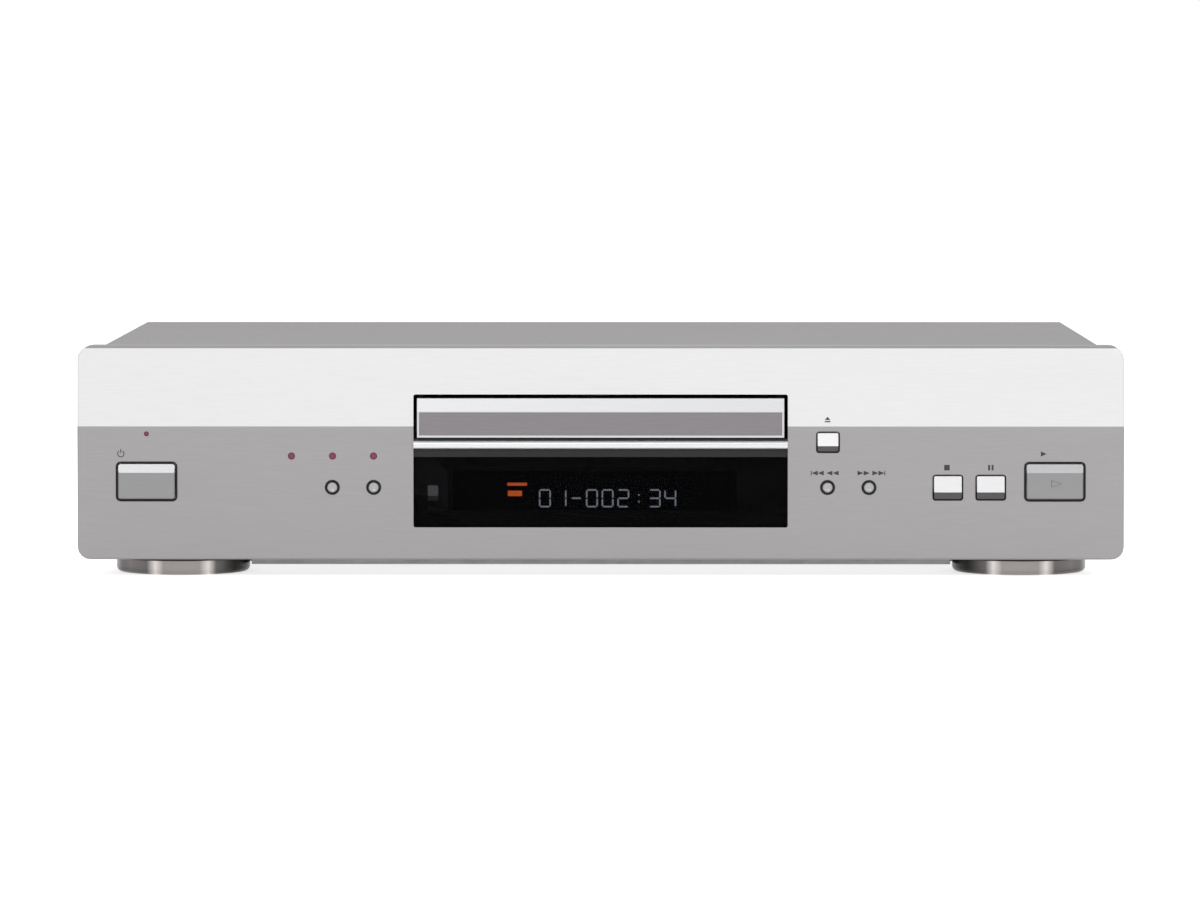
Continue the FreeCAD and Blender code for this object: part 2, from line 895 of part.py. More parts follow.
def jack_places():
    """Centres of the round audio and video jacks, in two rows."""
    places = []
    for row in range(2):
        for column in range(jack_columns):
            places.append((jack_start + column * jack_pitch, jack_row_height + row * jack_row_rise))
    return places


def mains_hole(y0, y1, margin):
    """Figure-of-eight opening of the mains inlet, wider by a margin."""
    radius = mains_opening_height / 2 + margin
    reach = mains_width / 2 - mains_opening_height / 2
    rounds = [plug(mains_x + side * reach, mains_height, y0, y1, radius) for side in (-1, 1)]
    waist = block(mains_x - reach, mains_x + reach, y0, y1, mains_height - radius * 0.8,
                  mains_height + radius * 0.8)
    return fused([waist] + rounds)


def small_socket_place():
    return (jack_block()[1] + socket_gap, socket_height + jack_row_rise / 2)


def optical_place():
    return (jack_block()[1] + socket_gap, socket_height - jack_row_rise / 2)


def rear_panel():
    """Steel rear panel with its holes for the connectors."""
    half = chassis_width / 2
    top = cover_top - sheet - slide_gap
    solid = block(-half, half, panel_front, rear_face, foot_height, top)
    cuts = []
    y0 = panel_front - 1
    y1 = rear_face + 1
    left, right, low, high = jack_block()
    cuts.append(block(left - slide_gap, right + slide_gap, y0, y1, low - slide_gap, high + slide_gap))
    half_size = small_socket_radius + slide_gap
    for x, z in (small_socket_place(), optical_place()):
        cuts.append(block(x - half_size, x + half_size, y0, y1, z - half_size, z + half_size))
    wall = mains_wall + slide_gap
    cuts.append(block(mains_x - mains_width / 2 - wall, mains_x + mains_width / 2 + wall, y0, y1,
                      mains_height - mains_opening_height / 2 - wall,
                      mains_height + mains_opening_height / 2 + wall))
    for index in range(vent_count):
        z = jack_row_height
        x = index * vent_pitch - board_inner
        cuts.append(block(x, x + vent_width, y0, y1, z, z + vent_length))
    return cut_all(solid, cuts)


def jack_block():
    """Sides of the moulded jack block as left, right, low and high."""
    margin = jack_housing_margin
    left = jack_start - jack_pitch / 2 - margin
    right = jack_start + (jack_columns - 0.5) * jack_pitch + margin
    low = jack_row_height - margin - 1
    high = jack_row_height + jack_row_rise + margin + 1
    return left, right, low, high


def panel_screw_places():
    """Screws that hold the jack block, between its jacks and its ends."""
    left, right, low, high = jack_block()
    inset = screw_head_radius + sheet
    middle = (low + high) / 2
    inward = vector(0, -1, 0)
    return [(vector(x, rear_face + sheet / 2, middle), inward) for x in (left + inset, right - inset)]


def jack_housings():
    """Moulded block that carries the jacks and fills a window in the rear panel."""
    left, right, low, high = jack_block()
    front = panel_front - jack_housing_depth
    face = block(left, right, front, rear_face + sheet / 2, low, high)
    rim = block(left - sheet * 2, right + sheet * 2, front, panel_front, low - sheet, high + sheet)
    return fused([face, rim])


def jack_barrels():
    """Metal shells of the round jacks, each with the hole for the plug's pin."""
    barrels = []
    for x, z in jack_places():
        shell = plug(x, z, rear_face + sheet / 2, rear_face + jack_proud, jack_radius)
        bore = sided_plug(x, z, rear_face + sheet, rear_face + jack_proud + 1, jack_bore_radius, plain_sides)
        barrels.append(shell.cut(bore))
    return Part.makeCompound(barrels)


def small_sockets():
    """A round video socket and a square optical one, each with its body behind the panel."""
    sockets = []
    side = small_socket_radius
    for x, z in (small_socket_place(), optical_place()):
        shell = block(x - side, x + side, panel_front - jack_housing_depth, rear_face + small_socket_proud,
                      z - side, z + side)
        if (x, z) == small_socket_place():
            recess = sided_plug(x, z, rear_face - sheet, rear_face + small_socket_proud + 1, side - sheet,
                                fine_sides)
        else:
            recess = block(x - side + sheet, x + side - sheet, rear_face - sheet,
                           rear_face + small_socket_proud + 1, z - side + sheet, z + side - sheet)
        sockets.append(shell.cut(recess))
    return Part.makeCompound(sockets)


def mains_inlet():
    """Moulded two-pin inlet with its figure-of-eight recess and its flange outside the panel."""
    half = mains_width / 2 + mains_wall
    half_height = mains_opening_height / 2 + mains_wall
    back = rear_face + sheet
    front = back - mains_depth - mains_wall
    shell = block(mains_x - half, mains_x + half, front, back, mains_height - half_height,
                  mains_height + half_height)
    flange = block(mains_x - half - sheet, mains_x + half + sheet, rear_face, back,
                   mains_height - half_height - sheet, mains_height + half_height + sheet)
    shell = shell.fuse(flange).removeSplitter()
    shell = shell.cut(mains_hole(back - mains_depth, back + 1, 0))
    pins = []
    for side in (-1, 1):
        x = mains_x + side * mains_pin_spacing / 2
        pins.append(sided_plug(x, mains_height, front + mains_wall / 2, back - mains_depth + mains_pin_length,
                               mains_pin_radius, plain_sides))
    return fused([shell] + pins)


def involute(angle):
    return math.tan(angle) - angle


def gear_disc(x, y, teeth, phase, z0, z1):
    """Spur gear whose flanks run through points of their involute."""
    pressure = math.radians(20)
    pitch_radius = gear_module * teeth / 2
    base_radius = pitch_radius * math.cos(pressure)
    tip_radius = pitch_radius + tooth_addendum * gear_module
    root_radius = pitch_radius - tooth_dedendum * gear_module
    half_at_pitch = (math.pi * gear_module / 2 - backlash / 2) / (2 * pitch_radius)

    def flank(radius, centre, side):
        roll = math.acos(min(1.0, base_radius / radius))
        half = half_at_pitch + involute(pressure) - involute(roll)
        angle = centre + side * half
        return vector(x + radius * math.cos(angle), y + radius * math.sin(angle), z0)

    start_radius = max(base_radius, root_radius)
    corners = []
    for index in range(teeth):
        centre = phase + index * 2 * math.pi / teeth
        low = [flank(radius, centre, -1) for radius in (start_radius, pitch_radius, tip_radius)]
        high = [flank(radius, centre, 1) for radius in (tip_radius, pitch_radius, start_radius)]
        origin = vector(x, y, z0)
        low_root = origin + (low[0] - origin) * (root_radius / start_radius)
        high_root = origin + (high[2] - origin) * (root_radius / start_radius)
        corners += [low_root] + low[1:] + high[:2] + [high_root]
    return Part.Face(Part.makePolygon(corners + corners[:1])).extrude(vector(0, 0, z1 - z0))


def drive_gear():
    """Gear that moves the tray by its rack, with its hub down to the deck."""
    x = drive_gear_x
    y = drive_gear_depth
    disc = gear_disc(x, y, drive_teeth, math.pi, gear_bottom, gear_top)
    hub = sided_post(x, y, deck_top + seat_gap, gear_bottom, hub_radius, plain_sides)
    bore = sided_post(x, y, deck_top, gear_top + 1, gear_bore_radius, fine_sides)
    return disc.fuse(hub).cut(bore).removeSplitter()


def pulley(y, radius):
    """Belt pulley on the pinion's side, as two rims and the root of the groove between them."""
    middle = (pulley_bottom + pulley_top) / 2
    half = belt_size / 2 + slide_gap
    return fused([
        sided_post(pinion_x, y, pulley_bottom, middle - half, radius, fine_sides),
        sided_post(pinion_x, y, middle - half, middle + half, radius - pulley_groove, fine_sides),
        sided_post(pinion_x, y, middle + half, pulley_top, radius, fine_sides),
    ])


def pulley_gear():
    """Belt pulley moulded in one with the pinion that turns the drive gear."""
    towards = math.radians(pinion_angle)
    pitch = 2 * math.pi / drive_teeth
    offset = (towards - math.pi) % pitch
    gap_angle = towards + math.pi + offset * drive_radius / pinion_radius
    phase = gap_angle + math.pi / pinion_teeth
    pinion = gear_disc(pinion_x, pinion_depth, pinion_teeth, phase, pulley_top, gear_top)
    bore = sided_post(pinion_x, pinion_depth, pulley_bottom - 1, gear_top + 1, gear_bore_radius, fine_sides)
    return pulley(pinion_depth, pulley_radius).fuse(pinion).removeSplitter().cut(bore)


def motor_pulley():
    radius = spindle_shaft_radius + shaft_gap
    bore = sided_post(pinion_x, motor_depth, pulley_bottom - 1, pulley_top + 1, radius, plain_sides)
    return pulley(motor_depth, motor_pulley_radius).cut(bore)


def drive_belt():
    """Square rubber belt round both pulleys, as two bends and the two straight runs between them."""
    middle = (pulley_bottom + pulley_top) / 2
    z0 = middle - belt_size / 2
    large = pulley_radius - pulley_groove + belt_gap
    small = motor_pulley_radius - pulley_groove + belt_gap

    def loop(grow):
        wide = large + grow
        narrow = small + grow
        tilt = math.asin((wide - narrow) / belt_span)
        corners = []
        for radius, y, start, end in ((wide, pinion_depth, math.pi - tilt, 2 * math.pi + tilt),
                                      (narrow, motor_depth, tilt, math.pi - tilt)):
            for step in range(plain_sides + 1):
                angle = start + (end - start) * step / plain_sides
                corners.append((pinion_x + radius * math.cos(angle), y + radius * math.sin(angle)))
        return upright_prism(corners, z0, z0 + belt_size)

    return loop(belt_size).cut(loop(0))


def loading_motor():
    """Small round motor under the deck, with its shaft up to the pulley."""
    body = sided_post(pinion_x, motor_depth, deck_bottom - load_motor_length, deck_bottom, load_motor_radius,
                      fine_sides)
    flats = [block(pinion_x - 2 * load_motor_radius, pinion_x - load_motor_radius * 0.8, motor_depth
                   - load_motor_radius, motor_depth + load_motor_radius, 0, deck_bottom),
             block(pinion_x + load_motor_radius * 0.8, pinion_x + 2 * load_motor_radius, motor_depth
                   - load_motor_radius, motor_depth + load_motor_radius, 0, deck_bottom)]
    shaft = sided_post(pinion_x, motor_depth, deck_bottom, pulley_top, spindle_shaft_radius - shaft_gap / 2,
                       plain_sides)
    return cut_all(body, flats).fuse(shaft).removeSplitter()


def tray_rack():
    """Rack under the left edge of the tray, with straight-sided teeth."""
    pitch_line = drive_gear_x - drive_radius
    tip = pitch_line + tooth_addendum * gear_module
    root = pitch_line - tooth_dedendum * gear_module
    back = root - 2 * gear_module
    pitch = math.pi * gear_module
    slope = math.tan(math.radians(20))
    half = (pitch / 2 - backlash / 2) / 2
    start = rack_front
    end = tray_rear_edge - rack_gap * 2
    outline = [(back, start), (root, start)]
    index = math.ceil((start + pitch - drive_gear_depth) / pitch - 0.5)
    while drive_gear_depth + (index + 0.5) * pitch + pitch < end:
        centre = drive_gear_depth + (index + 0.5) * pitch
        wide = half + (pitch_line - root) * slope
        narrow = half - (tip - pitch_line) * slope
        outline += [(root, centre - wide), (tip, centre - narrow)]
        outline += [(tip, centre + narrow), (root, centre + wide)]
        index += 1
    outline += [(root, end), (back, end)]
    return upright_prism(outline, gear_bottom + rack_gap, tray_floor_height)


def disc_tray():
    """Drawer with its stepped recess for two sizes of disc, its open slot and its rack."""
    half_flange = tray_flange_width / 2
    half_rim = tray_rim_width / 2
    floor_face = tray_floor_height + tray_floor
    plate = block(-half_flange, half_flange, tray_front_edge, tray_rear_edge, tray_floor_height, floor_face)
    rim = block(-half_rim, half_rim, tray_front_edge, tray_rear_edge, tray_floor_height, tray_rim_height)
    over = tray_rim_height + 1
    half_slot = tray_slot_width / 2
    pocket = tray_floor
    cuts = [
        post(0, disc_depth, floor_face, over, disc_fit),
        post(0, disc_depth, floor_face - small_recess, over, small_disc_radius + disc_allowance),
        sided_post(0, disc_depth, tray_floor_height - 1, over, half_slot, fine_sides),
        block(-half_slot, half_slot, disc_depth, tray_rear_edge + 1, tray_floor_height - 1, over),
        sided_post(0, tray_front_edge + finger_notch_radius, floor_face, over, finger_notch_radius - pocket,
                   fine_sides),
    ]
    for side in (-1, 1):
        inner = half_slot + pocket
        outer = half_rim - pocket
        x0, x1 = sorted((side * inner, side * outer))
        cuts.append(block(x0, x1, disc_depth + disc_fit + pocket, tray_rear_edge - pocket, floor_face, over))
    body = fused([plate, rim])
    return cut_all(body, cuts).fuse(tray_rack()).removeSplitter()


def tray_front():
    """Front of the drawer: a shell with ribs, its top edge sloped back, and a sunk field for the strip."""
    half = tray_front_width / 2
    low = foot_height + tray_front_bottom
    high = low + tray_front_height
    face = -tray_front_proud
    shoulder = low + strip_rise + strip_height + slide_gap
    wall = tray_front_proud + 1
    lean = fascia_lean / 2
    shell = side_prism([(face, low), (face, shoulder), (face + lean, high), (tray_front_edge, high),
                        (tray_front_edge, low)], -half, half)
    cavity = side_prism([(wall, low + wall), (wall, high - wall), (tray_front_edge + 1, high - wall),
                         (tray_front_edge + 1, low + wall)], wall - half, half - wall)
    ribs = [block(x - sheet / 2, x + sheet / 2, wall - sheet, tray_front_edge, low + sheet, high - sheet)
            for x in (-half / 2, -half / 6, half / 6, half / 2)]
    shell = fused([shell.cut(cavity)] + ribs)
    return shell.cut(strip_block(face - 1, face + strip_recess))


def strip_block(y0, y1):
    half = tray_front_width / 2 - strip_border
    low = foot_height + tray_front_bottom + strip_rise
    return block(-half, half, y0, y1, low, low + strip_height)


def tray_strip():
    face = -tray_front_proud
    return strip_block(face + strip_recess / 2, face + strip_recess)


def lug_places():
    """Ears of the loader, as (side, depth)."""
    front = loader_front + lug_inset + lug_length / 2
    back = loader_front + loader_length - lug_inset - lug_length / 2
    return [(side, y) for side in (-1, 1) for y in (front, back)]


def lug_x(side):
    return side * (loader_inner_width / 2 + loader_wall + lug_reach / 2)


def loader_frame():
    """Moulded frame with a deck, side walls, ledges and hold-downs for the tray, and posts for the gears."""
    inner = loader_inner_width / 2
    outer = inner + loader_wall
    rear = loader_front + loader_length
    pieces = [block(-inner, inner, loader_front, rear, deck_bottom, deck_top)]
    for side in (-1, 1):
        x0, x1 = sorted((side * inner, side * outer))
        pieces.append(block(x0, x1, loader_front, rear, loader_bottom, loader_top))
        x0, x1 = sorted((side * (inner - ledge_width), side * inner))
        ledge_top = tray_floor_height - slide_gap
        pieces.append(block(x0, x1, loader_front, rear, ledge_top - ledge_thickness, ledge_top))
        tab_low = tray_floor_height + tray_floor + slide_gap
        for front in (loader_front, loader_front + 3 * hold_down_length):
            pieces.append(block(x0, x1, front, front + hold_down_length, tab_low, tab_low + ledge_thickness))
    for front in (loader_front, rear - loader_wall):
        pieces.append(block(-inner, inner, front, front + loader_wall, loader_bottom, deck_bottom))
    for side, y in lug_places():
        x0, x1 = sorted((side * outer, side * (outer + lug_reach)))
        pieces.append(block(x0, x1, y - lug_length / 2, y + lug_length / 2, loader_bottom,
                            loader_bottom + ledge_thickness))
    for x0 in (traverse_left - traverse_gap - hinge_pin_length, traverse_right + traverse_gap):
        pieces.append(block(x0, x0 + hinge_pin_length, hinge_depth - 3 * hinge_pin_radius,
                            hinge_depth + 3 * hinge_pin_radius, hinge_height - 3 * hinge_pin_radius,
                            deck_bottom))
    for x, y in bridge_screw_places():
        reach = screw_head_radius
        pieces.append(block(x - reach, x + reach, y - reach, y + reach, loader_top - ear_depth, loader_top))
    body = fused(pieces)
    cuts = [
        block(traverse_left - traverse_gap, traverse_right + traverse_gap, traverse_front - traverse_gap,
              traverse_rear + traverse_gap, 0, loader_top),
        block(cam_left - slide_gap, cam_right + cam_travel + slide_gap, cam_front - slide_gap,
              cam_back + slide_gap, loader_bottom + loader_wall, loader_top),
        sided_post(pinion_x, motor_depth, 0, loader_top, 2 * spindle_shaft_radius, plain_sides),
        bar(hinge_depth, hinge_height, traverse_left - 2 * hinge_pin_length,
            traverse_right + 2 * hinge_pin_length, hinge_pin_radius + shaft_gap),
    ]
    body = cut_all(body, cuts)
    posts = [sided_post(x, y, deck_top, gear_top, gear_post_radius, plain_sides)
             for x, y in ((drive_gear_x, drive_gear_depth), (pinion_x, pinion_depth))]
    return fused([body] + posts)


def loader_dampers():
    """Rubber pucks between the brackets and the loader's ears."""
    low = loader_bottom - damper_height
    return Part.makeCompound([sided_post(lug_x(side), y, low, loader_bottom, damper_radius, plain_sides)
                              for side, y in lug_places()])


def loader_brackets():
    """Bent steel brackets from the chassis floor up to the dampers."""
    brackets = []
    for side, y in lug_places():
        shelf_top = loader_bottom - damper_height
        near = lug_x(side) - side * damper_radius
        wall = lug_x(side) + side * (lug_reach / 2 + slide_gap)
        end = wall + side * bracket_foot
        floor = trough_top
        outline = [(near, shelf_top), (wall + side * sheet, shelf_top), (wall + side * sheet, floor + sheet),
                   (end, floor + sheet), (end, floor), (wall, floor), (wall, shelf_top - sheet),
                   (near, shelf_top - sheet)]
        brackets.append(depth_prism(outline, y - lug_length / 2, y + lug_length / 2))
    return Part.makeCompound(brackets)


def cam_drop():
    """How far the traverse's front pin sinks over its whole tilt."""
    reach = hinge_depth - (cam_front + cam_back) / 2
    return reach * math.sin(math.radians(traverse_drop))


def cam_slider():
    """Plate that slides across under the deck and lowers the traverse by its slanted slot."""
    plate = block(cam_left, cam_right, cam_front, cam_back, cam_bottom, deck_top + seat_gap)
    lip = block(cam_left, cam_right, cam_front - cam_thickness, cam_back + cam_thickness,
                deck_top + seat_gap, deck_top + seat_gap + cam_thickness / 2)
    half = cam_pin_radius + slide_gap
    drop = cam_drop()
    length = math.hypot(cam_travel, drop)
    across = half * drop / length
    along = half * cam_travel / length
    low_x = cam_pin_x - cam_travel
    low_z = cam_pin_height - drop
    y0 = cam_front - 1
    y1 = cam_back + 1
    outline = [(cam_pin_x - across, cam_pin_height + along), (low_x - across, low_z + along),
               (low_x + across, low_z - along), (cam_pin_x + across, cam_pin_height - along)]
    slot = fused([depth_prism(outline, y0, y1), plug(cam_pin_x, cam_pin_height, y0, y1, half),
                  plug(low_x, low_z, y0, y1, half)])
    return fused([plate, lip]).cut(slot)


def traverse_frame():
    """Tray-shaped chassis for the spindle and the pickup, hinged at its rear and held by a pin in front."""
    left = traverse_left
    right = traverse_right
    wall = traverse_wall
    floor = traverse_bottom + traverse_floor
    body = block(left, right, traverse_front, traverse_rear, traverse_bottom, traverse_top)
    cavity = block(left + wall, right - wall, traverse_front + wall, traverse_rear - wall, floor,
                   traverse_top + 1)
    rib_top = guide_rod_height + 2 * guide_rod_radius
    rib_right = guide_rod_offset + 2 * wall
    rib_front = disc_depth + spindle_radius + slide_gap
    ribs = [block(left + wall / 2, rib_right, y, y + wall, traverse_bottom + sheet, rib_top)
            for y in (rib_front, traverse_rear - 4 * wall)]
    bearing = block(lead_screw_x - 2 * lead_screw_radius, lead_screw_x + 2 * lead_screw_radius,
                    traverse_rear - 4 * wall, traverse_rear - 3 * wall, traverse_bottom + sheet,
                    lead_screw_height() + 2 * lead_screw_radius)
    pins = [
        bar(hinge_depth, hinge_height, left - traverse_gap - hinge_pin_length, left + wall, hinge_pin_radius),
        bar(hinge_depth, hinge_height, right - wall, right + traverse_gap + hinge_pin_length,
            hinge_pin_radius),
        sided_plug(cam_pin_x, cam_pin_height, cam_front - slide_gap, traverse_front + wall / 2,
                   cam_pin_radius, fine_sides),
    ]
    body = fused([body.cut(cavity)] + ribs + [bearing] + pins)
    half = guide_rod_offset - wall
    cuts = [
        block(-half, half, rib_front + wall + slide_gap, traverse_rear - 5 * wall, 0, floor + slide_gap),
        sided_post(0, disc_depth, 0, floor + 1, hub_radius, plain_sides),
        sided_plug(lead_screw_x, lead_screw_height(), traverse_front + wall, traverse_rear - wall,
                   lead_screw_radius + 2 * shaft_gap, fine_sides),
    ]
    for side in (-1, 1):
        cuts.append(sided_plug(side * guide_rod_offset, guide_rod_height, traverse_front + wall,
                               traverse_rear - wall, guide_rod_radius + shaft_gap / 3, plain_sides))
    return cut_all(body, cuts)


def lead_screw_height():
    return guide_rod_height + 2 * guide_rod_radius - slide_gap * 2


def guide_rods():
    front = disc_depth + spindle_radius + slide_gap
    back = traverse_rear - 3 * traverse_wall
    return Part.makeCompound([sided_plug(side * guide_rod_offset, guide_rod_height, front, back,
                                         guide_rod_radius, plain_sides) for side in (-1, 1)])


def spindle_motor():
    """Flat motor on the traverse's floor, with its shaft up into the turntable."""
    floor = traverse_bottom + traverse_floor
    body = sided_post(0, disc_depth, floor, spindle_top, spindle_radius, fine_sides)
    shaft = sided_post(0, disc_depth, spindle_top, turntable_height, spindle_shaft_radius, plain_sides)
    return body.fuse(shaft).removeSplitter()


def turntable():
    """Platform for the disc, with a hub that centres it."""
    under = turntable_height - turntable_thickness
    plate = sided_post(0, disc_depth, under, turntable_height, turntable_radius, fine_sides)
    boss = sided_post(0, disc_depth, under, boss_height, boss_radius, fine_sides)
    crown = [edge for edge in boss.Edges if edge.BoundBox.ZMin > boss_height - sheet / 2]
    boss = boss.makeChamfer(sheet, crown)
    radius = spindle_shaft_radius + 2 * shaft_gap
    bore = sided_post(0, disc_depth, under - 1, boss_height + 1, radius, fine_sides)
    return plate.fuse(boss).removeSplitter().cut(bore)


def pickup():
    """Sled that carries the lens, with ears on both guide rods and a half nut on the lead screw."""
    half_length = pickup_length / 2
    half = pickup_width / 2
    front = pickup_depth - half_length
    back = pickup_depth + half_length
    low = traverse_bottom + traverse_floor + slide_gap * 2
    top = low + pickup_height
    ear = guide_rod_offset + 2 * guide_rod_radius
    pieces = [
        block(-half, half, front, back, low, top),
        block(-half / 1.5, half / 1.5, front + sheet, back - sheet, top, spindle_top),
        block(-ear, -half, pickup_depth - sheet * 3, pickup_depth + sheet * 3, low, top - sheet * 2),
        block(half, ear, front, back, low, top - sheet * 2),
        block(ear, lead_screw_x + lead_screw_radius, pickup_depth - sheet * 3, pickup_depth + sheet * 3, low,
              lead_screw_height() - lead_screw_radius - slide_gap / 2),
    ]
    body = fused(pieces)
    cuts = [sided_plug(side * guide_rod_offset, guide_rod_height, front - 1, back + 1,
                       guide_rod_radius + shaft_gap, plain_sides) for side in (-1, 1)]
    well = half / 3
    cuts.append(block(-well, well, lens_depth() - well, lens_depth() + well, top, spindle_top + 1))
    return cut_all(body, cuts)


def lens_depth():
    return pickup_depth - pickup_length / 5


def objective_lens():
    """Small domed lens in its holder, over the sled."""
    low = traverse_bottom + traverse_floor + slide_gap * 2 + pickup_height
    lens = sided_post(0, lens_depth(), low, lens_top, lens_radius, plain_sides)
    crown = [edge for edge in lens.Edges if edge.BoundBox.ZMin > lens_top - sheet / 2]
    return lens.makeChamfer(sheet, crown)


def feed_motor_front():
    return disc_depth + slide_gap


def lead_screw():
    front = feed_motor_front() + feed_motor_length + seat_gap
    back = traverse_rear - 3 * traverse_wall
    return plug(lead_screw_x, lead_screw_height(), front, back, lead_screw_radius)


def feed_motor():
    front = feed_motor_front()
    z = lead_screw_height()
    body = sided_plug(lead_screw_x, z, front, front + feed_motor_length, feed_motor_radius, plain_sides)
    floor = traverse_bottom + traverse_floor
    foot_block = block(lead_screw_x - lead_screw_radius, lead_screw_x + lead_screw_radius, front + sheet,
                       front + feed_motor_length - sheet, floor, z)
    return body.fuse(foot_block).removeSplitter()


def clamp_bridge():
    """Steel strap across the loader that holds the clamp over the disc."""
    outer = loader_inner_width / 2 + loader_wall + screw_radius + screw_head_radius + slide_gap
    top = bridge_bottom + bridge_thickness
    strap = block(-outer, outer, bridge_front, bridge_front + bridge_length, bridge_bottom, top)
    ring_radius = clamp_flange_radius + 2 * bridge_thickness
    ring = sided_post(0, disc_depth, bridge_bottom, top, ring_radius, fine_sides)
    strap = strap.fuse(ring).removeSplitter()
    cuts = [sided_post(0, disc_depth, 0, top + 1, bridge_hole_radius, fine_sides)]
    for side in (-1, 1):
        x = side * (outer + bridge_hole_radius) / 2
        cuts.append(block(x - outer / 6, x + outer / 6, disc_depth - bridge_length / 4,
                          disc_depth + bridge_length / 4, 0, top + 1))
    return cut_all(strap, cuts)


def bridge_screw_places():
    x = loader_inner_width / 2 + loader_wall + screw_radius
    inset = 2 * screw_head_radius
    return [(side * x, y) for side in (-1, 1)
            for y in (bridge_front + inset, bridge_front + bridge_length - inset)]


def clamp_disc():
    """Clamp that presses the disc on the turntable, hanging in the bridge by its flange."""
    rest = bridge_bottom + bridge_thickness + slide_gap
    cap_base = rest + clamp_flange
    return fused([
        sided_post(0, disc_depth, clamp_bottom, cap_base, clamp_puck_radius, fine_sides),
        sided_post(0, disc_depth, rest, cap_base, clamp_flange_radius, fine_sides),
        sided_post(0, disc_depth, cap_base, clamp_top, clamp_boss_radius, fine_sides),
    ])


def board(x, front, length):
    low = trough_top + board_lift
    return block(x - board_width / 2, x + board_width / 2, front, front + length, low, low + board_thickness)


def power_board():
    return board(-board_x, power_board_front, power_board_length)


def main_board():
    return board(board_x, main_board_front, main_board_length)


def power_transformer():
    """Laminated core with its winding standing out at both sides, on the power board."""
    x = -board_x - board_width / 5
    y = power_board_front + power_board_length / 3
    low = board_top
    core = block(x - core_width / 2, x + core_width / 2, y - core_depth / 4, y + core_depth / 4, low,
                 low + core_height)
    coil_half = core_width / 3
    coil_depth = core_depth / 4 + coil_reach
    coil = block(x - coil_half, x + coil_half, y - coil_depth, y + coil_depth,
                 low + coil_reach, low + core_height - coil_reach)
    coil = rounded(coil, coil_reach / 2, vector(0, 0, 1))
    return core.fuse(coil).removeSplitter()


def power_capacitors():
    """Upright capacitors in their sleeves, with a turned-in top edge."""
    x = board_width / 4 - board_x
    y0 = power_board_front + 2 * capacitor_radius
    cans = []
    for index, share in enumerate((1.0, 0.7, 0.7, 0.5)):
        radius = capacitor_radius * share
        height = capacitor_height * share
        y = y0 + index * 2.4 * capacitor_radius
        cans.append(sided_post(x, y, board_top, board_top + height, radius, fine_sides))
    return Part.makeCompound(cans)


def power_heatsink():
    """Finned heat sink that stands along the power board."""
    back = power_board_front + power_board_length - capacitor_radius
    front = back - heatsink_length
    x0 = -board_x - fin_count * fin_pitch / 2
    base = block(x0, x0 + fin_count * fin_pitch, front, back, board_top, board_top + 2 * fin_thickness)
    fins = [block(x0 + index * fin_pitch, x0 + index * fin_pitch + fin_thickness, front, back, board_top,
                  board_top + heatsink_height) for index in range(fin_count)]
    return fused([base] + fins)


def board_chips():
    """Square and oblong circuit packages at shares of the main board's width and length."""
    places = [(-0.15, 0.29, big_chip, big_chip), (0.23, 0.25, middle_chip, middle_chip),
              (0.21, 0.48, small_chip, middle_chip), (-0.17, 0.55, middle_chip, narrow_chip),
              (-0.12, 0.72, middle_chip, narrow_chip), (0.23, 0.7, small_chip, small_chip)]
    chips = []
    for across, along, width, depth in places:
        x = board_x + across * board_width
        y = main_board_front + along * main_board_length
        chips.append(block(x - width / 2, x + width / 2, y - depth / 2, y + depth / 2, board_top,
                           board_top + board_thickness))
    return Part.makeCompound(chips)


def output_board():
    """Upright board behind the loader, soldered to the jacks."""
    back = panel_front - jack_housing_depth
    left = output_board_x - output_board_width / 2
    right = output_board_x + output_board_width / 2
    low = trough_top + board_lift
    top = jack_row_height + jack_row_rise + jack_housing_margin + 2 * sheet
    upright = block(left + output_board_width / 4, right - jack_pitch / 3, back - board_thickness, back,
                    low, top)
    holders = [block(x - 3 * sheet, x + 3 * sheet, back - board_thickness - 3 * sheet, back, trough_top, low)
               for x in (left + output_board_width / 3, output_board_x + output_board_width / 4)]
    return fused([upright] + holders)


def ribbon(x, width, points):
    """Flat cable bent along points of depth and height."""
    thick = sheet / 2
    upper = [(y, z + thick) for y, z in points]
    return side_prism(points + upper[::-1], x - width / 2, x + width / 2)


def flat_cable():
    """Ribbon from the main board up to the chassis front wall, where it meets the front board."""
    top = board_top + coil_reach
    forward = [(chassis_front + sheet, top + coil_reach), (main_board_front - sheet, top),
               (main_board_front + 2 * coil_reach, board_top)]
    return ribbon(board_x - board_width / 4, 2 * coil_reach, forward)


def assembly_screws():
    """Screw heads at the cover, the jack block and the clamp bridge."""
    down = vector(0, 0, -1)
    places = cover_screw_places() + panel_screw_places()
    for x, y in bridge_screw_places():
        places.append((vector(x, y, bridge_bottom + bridge_thickness), down))
    return Part.makeCompound([pan_screw(place) for place in places])


